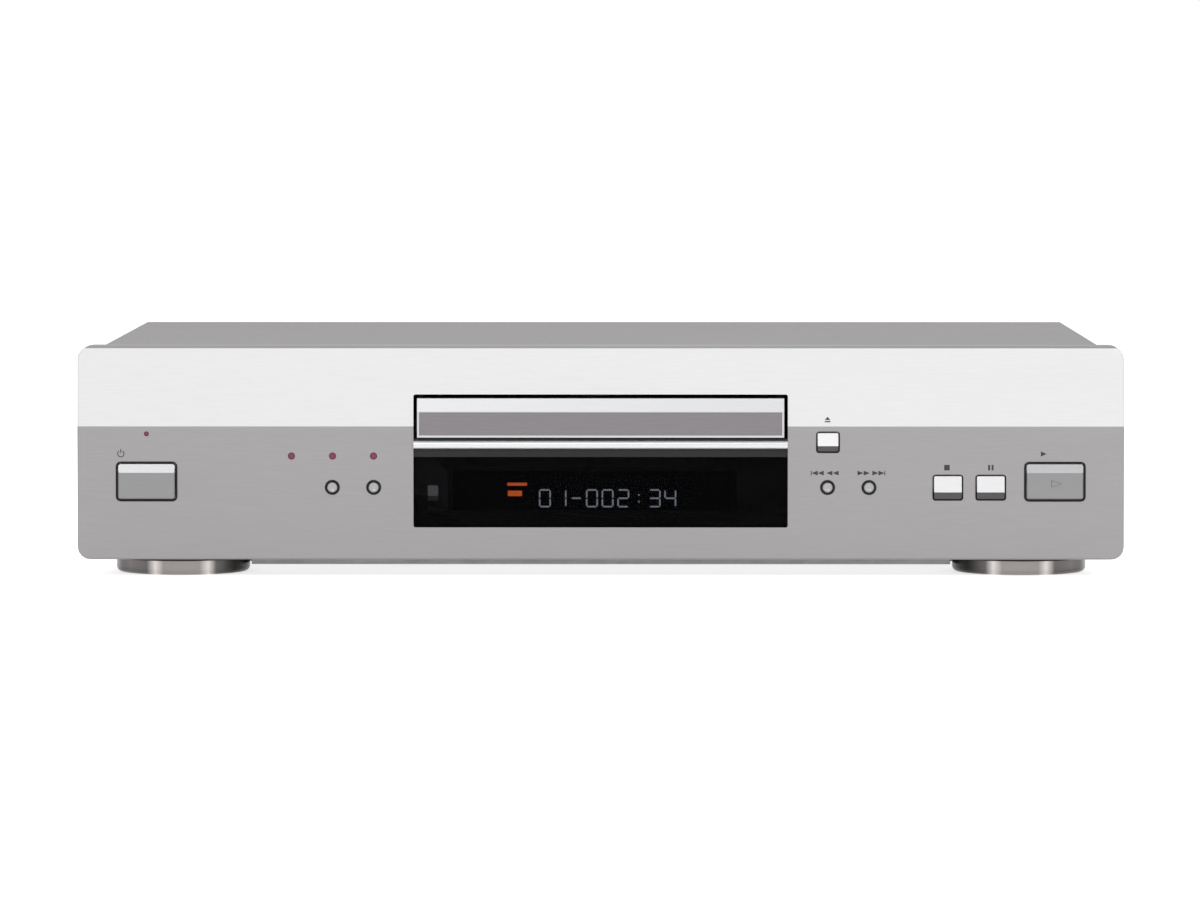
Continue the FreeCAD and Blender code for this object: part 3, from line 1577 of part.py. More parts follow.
def build():
    """Write every sub-part, from the outside in."""
    os.makedirs("parts", exist_ok=True)
    save_node("fascia_panel", fascia_body())
    save_node("fascia_frame", fascia_frame_body())
    save_node("top_cover", top_cover())
    save_node("chassis_base", chassis_base())
    save_node("rear_panel", rear_panel())
    save_node("feet", feet())
    save_node("foot_pads", foot_pads())
    save_node("display_window", display_window())
    save_node("trim_bar", trim_bar())
    for place in button_places():
        save_node(place[0], square_button(place))
    for place in round_button_places():
        save_node(place[0], round_button(place))
    save_node("indicator_lenses", indicator_lenses())
    save_node("display_tube", display_tube())
    save_node("remote_receiver", remote_receiver())
    save_node("front_board", front_board())
    save_node("key_switches", key_switches())
    save_node("loader_frame", loader_frame())
    save_node("loader_dampers", loader_dampers())
    save_node("loader_brackets", loader_brackets())
    save_node("disc_tray", disc_tray())
    save_node("tray_front", tray_front())
    save_node("tray_strip", tray_strip())
    save_node("loading_motor", loading_motor())
    save_node("motor_pulley", motor_pulley())
    save_node("drive_belt", drive_belt())
    save_node("pulley_gear", pulley_gear())
    save_node("drive_gear", drive_gear())
    save_node("cam_slider", cam_slider())
    save_node("traverse_frame", traverse_frame())
    save_node("spindle_motor", spindle_motor())
    save_node("turntable", turntable())
    save_node("guide_rods", guide_rods())
    save_node("pickup", pickup())
    save_node("objective_lens", objective_lens())
    save_node("lead_screw", lead_screw())
    save_node("feed_motor", feed_motor())
    save_node("clamp_bridge", clamp_bridge())
    save_node("clamp_disc", clamp_disc())
    save_node("power_board", power_board())
    save_node("power_transformer", power_transformer())
    save_node("power_capacitors", power_capacitors())
    save_node("power_heatsink", power_heatsink())
    save_node("main_board", main_board())
    save_node("board_chips", board_chips())
    save_node("output_board", output_board())
    save_node("flat_cable", flat_cable())
    save_node("jack_housings", jack_housings())
    save_node("jack_barrels", jack_barrels())
    save_node("video_sockets", small_sockets())
    save_node("mains_inlet", mains_inlet())
    save_node("assembly_screws", assembly_screws())


build()
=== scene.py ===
import bpy
import bmesh
import math
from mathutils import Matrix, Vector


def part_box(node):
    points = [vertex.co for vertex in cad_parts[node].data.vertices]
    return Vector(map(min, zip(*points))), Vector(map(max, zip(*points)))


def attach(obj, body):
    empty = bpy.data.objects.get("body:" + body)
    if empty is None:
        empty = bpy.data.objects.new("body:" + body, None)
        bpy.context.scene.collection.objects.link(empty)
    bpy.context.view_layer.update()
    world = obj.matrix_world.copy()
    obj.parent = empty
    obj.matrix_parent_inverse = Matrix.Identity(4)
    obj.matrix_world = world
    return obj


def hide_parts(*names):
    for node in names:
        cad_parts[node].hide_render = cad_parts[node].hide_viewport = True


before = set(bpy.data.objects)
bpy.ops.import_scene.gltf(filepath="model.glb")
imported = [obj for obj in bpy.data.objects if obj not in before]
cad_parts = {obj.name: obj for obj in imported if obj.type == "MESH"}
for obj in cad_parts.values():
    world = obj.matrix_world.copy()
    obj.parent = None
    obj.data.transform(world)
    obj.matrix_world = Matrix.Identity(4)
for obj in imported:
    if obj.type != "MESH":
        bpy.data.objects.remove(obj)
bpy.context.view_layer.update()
MM = 0.001


# Camera
# A long lens stands almost square in front of the player and a little above its top, so that the cover shows
# as a narrow band. It looks slightly down and to the left, so the lines to the rear meet above the middle.

camera_height = 207.3 * MM
camera_right = 13.2 * MM
camera_distance = 2749.0 * MM
camera_down = math.radians(3.253)
camera_left_turn = math.radians(0.28)
camera_lens = 205.96
camera_sensor = 36.0
camera_reach = 50.0


def placed(name, data):
    """Object in the scene for a mesh, a lamp or a camera."""
    piece = bpy.data.objects.new(name, data)
    bpy.context.scene.collection.objects.link(piece)
    return piece


fascia_low, fascia_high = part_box("fascia_panel")
camera_data = bpy.data.cameras.new("camera")
camera_data.lens = camera_lens
camera_data.sensor_width = camera_sensor
camera_data.clip_end = camera_reach
camera = placed("camera", camera_data)
camera.location = (camera_right, fascia_low.y - camera_distance, camera_height)
camera.rotation_euler = (math.pi / 2 - camera_down, 0.0, camera_left_turn)
bpy.context.scene.camera = camera


# Studio floor and light
# A wide matt floor in pale grey, three large soft lamps and a plain sky. Rays from the camera, from gloss and
# through glass see the sky as white and the floor with a glow of its own, so it is white with a soft shadow.

white = (1.0, 1.0, 1.0, 1.0)
floor_reach = 40.0
floor_colour = (0.80, 0.80, 0.80, 1.0)
floor_roughness = 0.9
floor_glow = 0.75
sky_level = 0.62
sky_white = 1.0
lamp_table = [
    # name, place, what it points at, width and height, power
    ("front_lamp", (-0.9, -2.6, 1.9), (0, 0, 0.05), (1.8, 1.2), 26.0),
    ("right_lamp", (1.6, -1.8, 1.3), (0, 0, 0.05), (1.2, 1.2), 14.0),
    ("top_lamp", (0.0, 0.5, 2.2), (0, 0, 0), (2.0, 1.4), 16.0),
]


def new_material(name, values=()):
    """Node material, as itself, its tree and its main shader with some inputs set."""
    material = bpy.data.materials.new(name)
    material.use_nodes = True
    tree = material.node_tree
    shader = tree.nodes["Principled BSDF"]
    for socket, value in dict(values).items():
        shader.inputs[socket].default_value = value
    return material, tree, shader


def add_node(tree, kind, settings=(), inputs=()):
    """Node with its settings and its unlinked inputs."""
    node = tree.nodes.new(kind)
    for name, value in dict(settings).items():
        setattr(node, name, value)
    for name, value in dict(inputs).items():
        node.inputs[name].default_value = value
    return node


def seen_directly(tree):
    """One for rays from the camera, from gloss and through glass, else zero."""
    path = add_node(tree, "ShaderNodeLightPath")
    first = add_node(tree, "ShaderNodeMath", {"operation": "MAXIMUM"})
    second = add_node(tree, "ShaderNodeMath", {"operation": "MAXIMUM"})
    tree.links.new(path.outputs["Is Camera Ray"], first.inputs[0])
    tree.links.new(path.outputs["Is Glossy Ray"], first.inputs[1])
    tree.links.new(first.outputs[0], second.inputs[0])
    tree.links.new(path.outputs["Is Transmission Ray"], second.inputs[1])
    return second.outputs[0]


floor_mesh = bpy.data.meshes.new("studio_floor")
floor_mesh.from_pydata(
    [(-floor_reach, -floor_reach, 0), (floor_reach, -floor_reach, 0),
     (floor_reach, floor_reach, 0), (-floor_reach, floor_reach, 0)], [], [(0, 1, 2, 3)])
studio_floor = placed("studio_floor", floor_mesh)
floor_material, floor_tree, floor_shader = new_material("studio_floor", {
    "Base Color": floor_colour, "Roughness": floor_roughness, "Specular IOR Level": 0.0,
    "Emission Color": white})
floor_light = add_node(floor_tree, "ShaderNodeMath", {"operation": "MULTIPLY"})
floor_light.inputs[1].default_value = floor_glow
floor_tree.links.new(seen_directly(floor_tree), floor_light.inputs[0])
floor_tree.links.new(floor_light.outputs[0], floor_shader.inputs["Emission Strength"])
floor_mesh.materials.append(floor_material)

world = bpy.data.worlds.new("studio_sky")
bpy.context.scene.world = world
world.use_nodes = True
sky_tree = world.node_tree
sky_background = sky_tree.nodes["Background"]
sky_background.inputs["Color"].default_value = white
sky_mix = add_node(sky_tree, "ShaderNodeMix", {"data_type": "FLOAT"})
sky_mix.inputs[2].default_value = sky_level
sky_mix.inputs[3].default_value = sky_white
sky_tree.links.new(seen_directly(sky_tree), sky_mix.inputs[0])
sky_tree.links.new(sky_mix.outputs[0], sky_background.inputs["Strength"])


for lamp_name, lamp_place, lamp_aim, lamp_size, lamp_power in lamp_table:
    lamp_data = bpy.data.lights.new(lamp_name, "AREA")
    lamp_data.shape = "RECTANGLE"
    lamp_data.size, lamp_data.size_y = lamp_size
    lamp_data.energy = lamp_power
    soft_lamp = placed(lamp_name, lamp_data)
    soft_lamp.location = lamp_place
    lamp_way = Vector(lamp_aim) - Vector(lamp_place)
    soft_lamp.rotation_euler = lamp_way.to_track_quat("-Z", "Y").to_euler()
bpy.context.scene.view_settings.view_transform = "Standard"


# Chassis, rear panel, loader brackets and clamp bridge
# Pressed from zinc-plated steel sheet. The plating shows as a cool grey with faint crystals, and fine rolling
# marks run along the sheet. The pan's lowered middle shows under the fascia between the front feet.

zinc_dark = (0.29, 0.29, 0.287, 1.0)
zinc_light = (0.345, 0.345, 0.342, 1.0)
zinc_flake_scale = 160.0
zinc_mark_scale = 30.0
zinc_mark_stretch = (1.0, 40.0, 40.0)
zinc_roughness = (0.38, 0.5)
zinc_metal = 0.75
zinc_relief = 0.01 * MM


def object_position(tree, scale=(1.0, 1.0, 1.0)):
    """Place on the piece in metres, stretched by a scale."""
    position = add_node(tree, "ShaderNodeTexCoord")
    mapping = add_node(tree, "ShaderNodeMapping", inputs={"Scale": scale})
    tree.links.new(position.outputs["Object"], mapping.inputs["Vector"])
    return mapping.outputs["Vector"]


def noise(tree, place, scale, detail=3.0, roughness=0.55):
    """Number from zero to one that drifts from place to place."""
    node = add_node(tree, "ShaderNodeTexNoise",
                    inputs={"Scale": scale, "Detail": detail, "Roughness": roughness})
    tree.links.new(place, node.inputs["Vector"])
    return node.outputs["Fac"]


def blend_colours(tree, amount, first, second, low=0.3, high=0.7):
    """Colour between two, as an amount goes from low to high."""
    ramp = add_node(tree, "ShaderNodeValToRGB")
    ramp.color_ramp.elements[0].position = low
    ramp.color_ramp.elements[0].color = first
    ramp.color_ramp.elements[1].position = high
    ramp.color_ramp.elements[1].color = second
    tree.links.new(amount, ramp.inputs["Fac"])
    return ramp.outputs["Color"]


def spread(tree, amount, low, high):
    """Number that goes from low to high with an amount."""
    node = add_node(tree, "ShaderNodeMapRange", inputs={"From Min": 0.25, "From Max": 0.75,
                                                        "To Min": low, "To Max": high})
    tree.links.new(amount, node.inputs["Value"])
    return node.outputs["Result"]


def relief(tree, shader, amount, depth):
    """Bump of a real depth in metres."""
    bump = add_node(tree, "ShaderNodeBump", inputs={"Strength": 1.0, "Distance": depth})
    tree.links.new(amount, bump.inputs["Height"])
    tree.links.new(bump.outputs["Normal"], shader.inputs["Normal"])


def dress(material, *nodes):
    """Give CAD nodes a material."""
    for name in nodes:
        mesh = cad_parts[name].data
        mesh.materials.clear()
        mesh.materials.append(material)


zinc, zinc_tree, zinc_shader = new_material("zinc_plated_steel", {"Metallic": zinc_metal})
zinc_flakes = noise(zinc_tree, object_position(zinc_tree), zinc_flake_scale)
zinc_marks = noise(zinc_tree, object_position(zinc_tree, zinc_mark_stretch), zinc_mark_scale, 2.0)
zinc_tree.links.new(blend_colours(zinc_tree, zinc_flakes, zinc_dark, zinc_light),
                    zinc_shader.inputs["Base Color"])
zinc_tree.links.new(spread(zinc_tree, zinc_marks, *zinc_roughness), zinc_shader.inputs["Roughness"])
relief(zinc_tree, zinc_shader, zinc_marks, zinc_relief)
dress(zinc, "chassis_base", "rear_panel", "loader_brackets", "clamp_bridge")


# Fascia panel
# Extruded aluminium, brushed along its length and anodised silver. Its upper part leans back from a crease,
# and the light that it catches is painted into its colour as a painted highlight, so it is much paler than
# the upright part below. Its top edge is painted a darker grey as painted shade.

crease_above_foot = 53.5 * MM
crease_softness = 0.15 * MM
# Upper colours: a painted highlight for the light that the leaning part catches.
upper_painted_highlight = (0.74, 0.74, 0.745, 1.0)
upper_painted_highlight_streak = (0.68, 0.68, 0.685, 1.0)
lower_silver = (0.352, 0.338, 0.341, 1.0)
lower_streak = (0.318, 0.307, 0.309, 1.0)
top_edge = 0.7 * MM
top_softness = 0.2 * MM
# Top edge colour: painted shade on the fascia's rounded top edge.
top_painted_shade = (0.215, 0.21, 0.213, 1.0)
brush_stretch = (1.0, 60.0, 60.0)
brush_scale = 90.0
brush_detail = 4.0
brush_contrast = 0.7
cloud_stretch = (1.0, 6.0, 6.0)
cloud_scale = 14.0
fascia_roughness = (0.42, 0.52)
fascia_metal = 0.35
fascia_grain = 0.4
fascia_relief = 0.012 * MM
crease_line = fascia_low.z + crease_above_foot


def mix_colours(tree, amount, first, second):
    """Mix of two colours, whose sockets are the mixing node's inputs 6 and 7."""
    node = add_node(tree, "ShaderNodeMix", {"data_type": "RGBA"})
    tree.links.new(amount, node.inputs[0])
    tree.links.new(first, node.inputs[6])
    tree.links.new(second, node.inputs[7])
    return node.outputs[2]


def above_height(tree, height, softness):
    """Zero below a height and one above it."""
    position = add_node(tree, "ShaderNodeTexCoord")
    split = add_node(tree, "ShaderNodeSeparateXYZ")
    step = add_node(tree, "ShaderNodeMapRange", inputs={"From Min": height - softness,
                                                        "From Max": height + softness})
    tree.links.new(position.outputs["Object"], split.inputs["Vector"])
    tree.links.new(split.outputs["Z"], step.inputs["Value"])
    return step.outputs["Result"]


def plain_colour(tree, colour):
    """One colour as a socket."""
    node = add_node(tree, "ShaderNodeRGB")
    node.outputs[0].default_value = colour
    return node.outputs[0]


def brush_marks(tree):
    """Fine lines from left to right."""
    return noise(tree, object_position(tree, brush_stretch), brush_scale, brush_detail, brush_contrast)


fascia, fascia_tree, fascia_shader = new_material("brushed_aluminium", {
    "Metallic": fascia_metal, "Anisotropic": fascia_grain})
brush_lines = brush_marks(fascia_tree)
brush_cloud = noise(fascia_tree, object_position(fascia_tree, cloud_stretch), cloud_scale, 2.0)
# Painted highlight above the crease, and painted shade along the top edge, over the brushed lines.
brushed_painted_highlight = blend_colours(fascia_tree, brush_lines, upper_painted_highlight_streak, upper_painted_highlight)
brushed_lower = blend_colours(fascia_tree, brush_lines, lower_streak, lower_silver)
brushed_front = mix_colours(fascia_tree, above_height(fascia_tree, crease_line, crease_softness),
                            brushed_lower, brushed_painted_highlight)
on_painted_shade_edge = above_height(fascia_tree, fascia_high.z - top_edge, top_softness)
fascia_tree.links.new(
    mix_colours(fascia_tree, on_painted_shade_edge, brushed_front, plain_colour(fascia_tree, top_painted_shade)),
    fascia_shader.inputs["Base Color"])
fascia_tree.links.new(spread(fascia_tree, brush_cloud, *fascia_roughness), fascia_shader.inputs["Roughness"])
relief(fascia_tree, fascia_shader, brush_lines, fascia_relief)
dress(fascia, "fascia_panel")


# Fascia frame
# Black moulded plastic behind the fascia. It guides the buttons and shows as the dark gap round each of them.

black_base = (0.022, 0.021, 0.021, 1.0)
black_shade = (0.032, 0.031, 0.031, 1.0)
frame_roughness = 0.5
grain_swing = 0.05
drift_scale = 18.0


def moulding(name, base, shade, roughness, grain_scale=900.0, grain_depth=0.01 * MM, values=()):
    """Moulded plastic with a fine grain and a slight drift of colour."""
    material, tree, shader = new_material(name, values)
    place = object_position(tree)
    grain = noise(tree, place, grain_scale)
    drift = noise(tree, place, drift_scale, 2.0)
    tree.links.new(blend_colours(tree, drift, base, shade), shader.inputs["Base Color"])
    tree.links.new(spread(tree, grain, roughness - grain_swing, roughness + grain_swing),
                   shader.inputs["Roughness"])
    relief(tree, shader, grain, grain_depth)
    return material


dress(moulding("black_moulding", black_base, black_shade, frame_roughness), "fascia_frame")


# Feet and their pads
# Turned feet with a rounded lower edge and a groove at the top, plated a warm grey. The groove is painted
# dark as painted shade. Upright light and dark bands are painted into the plating as painted reflections of
# the lamps, the same on each side of the player. Each has a rubber pad in its underside.

foot_radius = 27.0 * MM
foot_top = 7.0 * MM
foot_base = 0.3 * MM
foot_rounding = 2.2 * MM
pad_seat = 20.3 * MM
pad_recess = 1.0 * MM
foot_steps = 128
foot_rounding_steps = 8
# Painted reflections: light and dark bands of the lamps painted into the feet's colour.
foot_painted_reflection_levels = [
    # share of the way from a foot's inner to its outer side, and the painted reflection's brightness there
    (0.0, 0.012), (1.0, 0.10), (0.10, 0.02), (0.18, 0.09), (0.23, 0.12), (0.285, 0.62),
    (0.35, 0.26), (0.62, 0.25), (0.68, 0.60), (0.745, 0.12), (0.875, 0.15), (0.95, 0.06)]
foot_warmth = (0.93, 0.905)
foot_metal_share = 0.9
foot_roughness = 0.3
groove_softness = 0.05 * MM
# Painted shade: the dark colour of the groove at the top of each foot.
foot_groove_painted_shade = (0.03, 0.028, 0.027, 1.0)
foot_groove = 1.0 * MM
foot_groove_depth = 0.9 * MM
rubber_base = (0.018, 0.018, 0.018, 1.0)
rubber_shade = (0.03, 0.03, 0.03, 1.0)
rubber_roughness = 0.8
smooth_angle = math.radians(32)


def turned(name, profile, steps):
    """Turned mesh about the upright axis from its outline of radius and height."""
    form = bmesh.new()
    rings = []
    for radius, height in profile:
        if radius == 0:
            rings.append([form.verts.new((0, 0, height))])
            continue
        ring = []
        for index in range(steps):
            angle = 2 * math.pi * index / steps
            ring.append(form.verts.new((radius * math.cos(angle), radius * math.sin(angle), height)))
        rings.append(ring)
    for lower, upper in zip(rings, rings[1:]):
        for index in range(steps):
            after = (index + 1) % steps
            if len(lower) == 1:
                form.faces.new((lower[0], upper[index], upper[after]))
            elif len(upper) == 1:
                form.faces.new((lower[index], lower[after], upper[0]))
            else:
                form.faces.new((lower[index], lower[after], upper[after], upper[index]))
    bmesh.ops.recalc_face_normals(form, faces=form.faces)
    mesh = bpy.data.meshes.new(name)
    form.to_mesh(mesh)
    form.free()
    mesh.shade_smooth()
    mesh.set_sharp_from_angle(angle=smooth_angle)
    return mesh


def copies(name, part_mesh, places, material):
    """One mesh of copies of a part, each at a place and a turn, made by a node tree."""
    tree = bpy.data.node_groups.new(name + "_tree", "GeometryNodeTree")
    tree.interface.new_socket(name="Places", in_out="INPUT", socket_type="NodeSocketGeometry")
    part_socket = tree.interface.new_socket(name="Part", in_out="INPUT", socket_type="NodeSocketObject")
    finish_socket = tree.interface.new_socket(name="Finish", in_out="INPUT", socket_type="NodeSocketMaterial")
    tree.interface.new_socket(name="Copies", in_out="OUTPUT", socket_type="NodeSocketGeometry")
    entry = tree.nodes.new("NodeGroupInput")
    leave = tree.nodes.new("NodeGroupOutput")
    part = tree.nodes.new("GeometryNodeObjectInfo")
    turn = add_node(tree, "GeometryNodeInputNamedAttribute", {"data_type": "FLOAT_VECTOR"},
                    {"Name": "turn"})
    stand = tree.nodes.new("GeometryNodeInstanceOnPoints")
    real = tree.nodes.new("GeometryNodeRealizeInstances")
    finish = tree.nodes.new("GeometryNodeSetMaterial")
    tree.links.new(entry.outputs["Part"], part.inputs["Object"])
    tree.links.new(entry.outputs["Places"], stand.inputs["Points"])
    tree.links.new(part.outputs["Geometry"], stand.inputs["Instance"])
    tree.links.new(turn.outputs["Attribute"], stand.inputs["Rotation"])
    tree.links.new(stand.outputs["Instances"], real.inputs["Geometry"])
    tree.links.new(real.outputs["Geometry"], finish.inputs["Geometry"])
    tree.links.new(entry.outputs["Finish"], finish.inputs["Material"])
    tree.links.new(finish.outputs["Geometry"], leave.inputs["Copies"])
    part_object = bpy.data.objects.new(name + "_part", part_mesh)
    points = bpy.data.meshes.new(name + "_places")
    points.from_pydata([place for place, turns in places], [], [])
    attribute = points.attributes.new("turn", "FLOAT_VECTOR", "POINT")
    for index, (place, turns) in enumerate(places):
        attribute.data[index].vector = turns
    maker = placed(name + "_maker", points)
    modifier = maker.modifiers.new("copies", "NODES")
    modifier.node_group = tree
    modifier[part_socket.identifier] = part_object
    modifier[finish_socket.identifier] = material
    graph = bpy.context.evaluated_depsgraph_get()
    mesh = bpy.data.meshes.new_from_object(maker.evaluated_get(graph))
    bpy.data.objects.remove(maker)
    bpy.data.objects.remove(part_object)
    return placed(name, mesh)


foot_profile = [(0, foot_base + pad_recess), (pad_seat, foot_base + pad_recess), (pad_seat, foot_base)]
for step in range(foot_rounding_steps + 1):
    foot_angle = math.pi / 2 * step / foot_rounding_steps
    foot_profile.append((foot_radius - foot_rounding * (1 - math.sin(foot_angle)),
                         foot_base + foot_rounding * (1 - math.cos(foot_angle))))
groove_low = foot_top - foot_groove
groove_radius = foot_radius - foot_groove_depth
foot_profile += [(foot_radius, groove_low), (groove_radius, groove_low), (groove_radius, foot_top),
                 (0, foot_top)]
foot_metal, foot_tree, foot_shader = new_material("plated_feet_painted_reflections", {
    "Metallic": foot_metal_share, "Roughness": foot_roughness})
feet_low, feet_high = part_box("feet")
foot_inner = feet_high.x - 2 * foot_radius
foot_place = add_node(foot_tree, "ShaderNodeTexCoord")
foot_split = add_node(foot_tree, "ShaderNodeSeparateXYZ")
foot_side = add_node(foot_tree, "ShaderNodeMath", {"operation": "ABSOLUTE"})
foot_across = add_node(foot_tree, "ShaderNodeMapRange",
                       inputs={"From Min": foot_inner, "From Max": feet_high.x})
foot_painted_reflections = add_node(foot_tree, "ShaderNodeValToRGB")
foot_tree.links.new(foot_place.outputs["Object"], foot_split.inputs["Vector"])
foot_tree.links.new(foot_split.outputs["X"], foot_side.inputs[0])
foot_tree.links.new(foot_side.outputs[0], foot_across.inputs["Value"])
foot_tree.links.new(foot_across.outputs["Result"], foot_painted_reflections.inputs["Fac"])
for index, (share, level) in enumerate(foot_painted_reflection_levels):
    stops = foot_painted_reflections.color_ramp.elements
    stop = stops[index] if index < 2 else stops.new(share)
    stop.position = share
    stop.color = (level, level * foot_warmth[0], level * foot_warmth[1], 1.0)
# Painted reflections below the groove, and painted shade above it.
foot_tree.links.new(mix_colours(foot_tree, above_height(foot_tree, groove_low, groove_softness),
                                foot_painted_reflections.outputs["Color"], plain_colour(foot_tree, foot_groove_painted_shade)),
                    foot_shader.inputs["Base Color"])
foot_places = [((x, y, 0.0), (0.0, 0.0, 0.0))
               for x in (feet_low.x + foot_radius, feet_high.x - foot_radius)
               for y in (feet_low.y + foot_radius, feet_high.y - foot_radius)]
turned_feet = copies("turned_feet", turned("turned_foot", foot_profile, foot_steps), foot_places,
                     foot_metal)
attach(turned_feet, "root")
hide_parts("feet")
dress(moulding("foot_rubber", rubber_base, rubber_shade, rubber_roughness), "foot_pads")


# Top cover
# Folded steel sheet with a satin grey coat. A fine orange-peel texture breaks up the reflections.

cover_grey = (0.235, 0.2255, 0.232, 1.0)
cover_shade = (0.2255, 0.217, 0.2235, 1.0)
cover_gloss = 0.12
cover_roughness = 0.5
peel_scale = 700.0
peel_depth = 0.02 * MM
dress(moulding("cover_coat", cover_grey, cover_shade, cover_roughness, peel_scale, peel_depth,
               {"Specular IOR Level": cover_gloss}), "top_cover")


# Display window
# Smoked acrylic that is almost black. The display behind it shows dimly, and its top edge is bevelled and
# painted as a lighter line, a painted highlight.

smoke_tint = (0.60, 0.60, 0.62, 1.0)
window_black = (0.005, 0.005, 0.0055, 1.0)
# Painted highlight on the bevelled top edge of the window.
window_bevel_painted_highlight = (0.04, 0.04, 0.041, 1.0)
window_bevel = 3.2 * MM
bevel_softness = 0.1 * MM
window_clear_share = 0.62
window_roughness = 0.05
window_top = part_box("display_window")[1].z
smoke, smoke_tree, smoke_body = new_material("smoked_acrylic", {
    "Roughness": window_roughness, "Specular IOR Level": 0.0})
bevel_part = above_height(smoke_tree, window_top - window_bevel, bevel_softness)
smoke_tree.links.new(blend_colours(smoke_tree, bevel_part, window_black, window_bevel_painted_highlight, 0.0, 1.0),
                     smoke_body.inputs["Base Color"])
smoke_clear = add_node(smoke_tree, "ShaderNodeBsdfTransparent", inputs={"Color": smoke_tint})
smoke_share = add_node(smoke_tree, "ShaderNodeMapRange",
                       inputs={"To Min": window_clear_share, "To Max": 0.0})
smoke_mix = add_node(smoke_tree, "ShaderNodeMixShader")
smoke_tree.links.new(bevel_part, smoke_share.inputs["Value"])
smoke_tree.links.new(smoke_share.outputs["Result"], smoke_mix.inputs["Fac"])
smoke_tree.links.new(smoke_body.outputs[0], smoke_mix.inputs[1])
smoke_tree.links.new(smoke_clear.outputs[0], smoke_mix.inputs[2])
smoke_tree.links.new(smoke_mix.outputs[0], smoke_tree.nodes["Material Output"].inputs["Surface"])
dress(smoke, "display_window")


# Bright bar over the window, the tray's front and its strip
# Polished aluminium bar, and a silver moulded front whose top edge leans back and catches the light. A strip
# of tinted, brushed aluminium is set into its lower field.

bar_bright = (0.69, 0.69, 0.70, 1.0)
bar_streak = (0.62, 0.62, 0.63, 1.0)
tray_silver = (0.60, 0.60, 0.61, 1.0)
tray_streak = (0.55, 0.55, 0.56, 1.0)
strip_tint = (0.228, 0.211, 0.226, 1.0)
strip_streak = (0.192, 0.178, 0.189, 1.0)
brush_swing = 0.04
# Each finish is how metallic a surface is, and how rough.
bar_finish = (0.6, 0.25)
tray_finish = (0.4, 0.35)
strip_finish = (0.5, 0.35)


def brushed(name, light, streak, metallic, roughness):
    """Metal brushed from left to right."""
    material, tree, shader = new_material(name, {"Metallic": metallic})
    lines = brush_marks(tree)
    tree.links.new(blend_colours(tree, lines, streak, light), shader.inputs["Base Color"])
    tree.links.new(spread(tree, lines, roughness - brush_swing, roughness + brush_swing),
                   shader.inputs["Roughness"])
    return material


dress(brushed("bright_bar", bar_bright, bar_streak, *bar_finish), "trim_bar")
dress(brushed("tray_silver", tray_silver, tray_streak, *tray_finish), "tray_front")
dress(brushed("tray_strip_tint", strip_tint, strip_streak, *strip_finish), "tray_strip")


# Wide and small keys
# Satin chromed plastic. The wide keys have an upright face below a bright facet, and the small ones two
# facets that meet at a ridge. The light on what leans back is painted in as a painted highlight, and on the
# small keys the shade on what leans forward is painted in as painted shade.

# The bright colours are a painted highlight on the facets that lean back.
wide_painted_highlight = (0.45, 0.45, 0.46, 1.0)
wide_painted_highlight_streak = (0.41, 0.41, 0.42, 1.0)
small_painted_highlight = (0.78, 0.78, 0.79, 1.0)
small_painted_highlight_streak = (0.72, 0.72, 0.73, 1.0)
wide_face = (0.28, 0.28, 0.283, 1.0)
wide_streak = (0.252, 0.252, 0.255, 1.0)
# The small keys' under colours are painted shade on the facets that lean forward.
small_painted_shade = (0.076, 0.074, 0.075, 1.0)
small_painted_shade_streak = (0.063, 0.061, 0.062, 1.0)
wide_facet = 3.4 * MM
key_flange_reach = 1.3 * MM
small_ridge_share = 0.3
key_metal = 0.3
key_roughness = 0.32
facet_softness = 0.05 * MM


def two_facets(name, split_height, under, under_streak, over, over_streak):
    """Brushed key that is dark below a height and painted bright above it: painted light on its facets."""
    material = brushed(name, under, under_streak, key_metal, key_roughness)
    tree = material.node_tree
    shader = tree.nodes["Principled BSDF"]
    below = shader.inputs["Base Color"].links[0].from_socket
    above = blend_colours(tree, brush_marks(tree), over_streak, over)
    tree.links.new(mix_colours(tree, above_height(tree, split_height, facet_softness), below, above),
                   shader.inputs["Base Color"])
    return material


for key in ("standby_button", "play_button"):
    facet_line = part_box(key)[1].z - key_flange_reach - wide_facet
    dress(two_facets(key + "_chrome_painted_light", facet_line, wide_face, wide_streak, wide_painted_highlight,
                     wide_painted_highlight_streak), key)
for key in ("stop_button", "pause_button", "open_close_button"):
    tail_low, tail_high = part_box(key)
    key_low = tail_low.z + key_flange_reach
    ridge_line = key_low + small_ridge_share * (tail_high.z - key_flange_reach - key_low)
    dress(two_facets(key + "_chrome_painted_light", ridge_line, small_painted_shade, small_painted_shade_streak, small_painted_highlight,
                     small_painted_highlight_streak), key)


# Round buttons
# Turned tips with a bevelled rim and a dimple for a fingernail, each with the flange and the stem behind the
# frame. They take the places of the plain buttons.

tip_radius = 1.95 * MM
tip_bevel = 0.35 * MM
dimple_radius = 1.35 * MM
dimple_depth = 0.35 * MM
stem_radius = 1.5 * MM
button_steps = 48
dimple_steps = 6
flange_margin = 0.1 * MM
tip_colour = (0.40, 0.40, 0.405, 1.0)
tip_streak = (0.36, 0.36, 0.365, 1.0)
tip_metal = brushed("round_tips", tip_colour, tip_streak, key_metal, key_roughness)

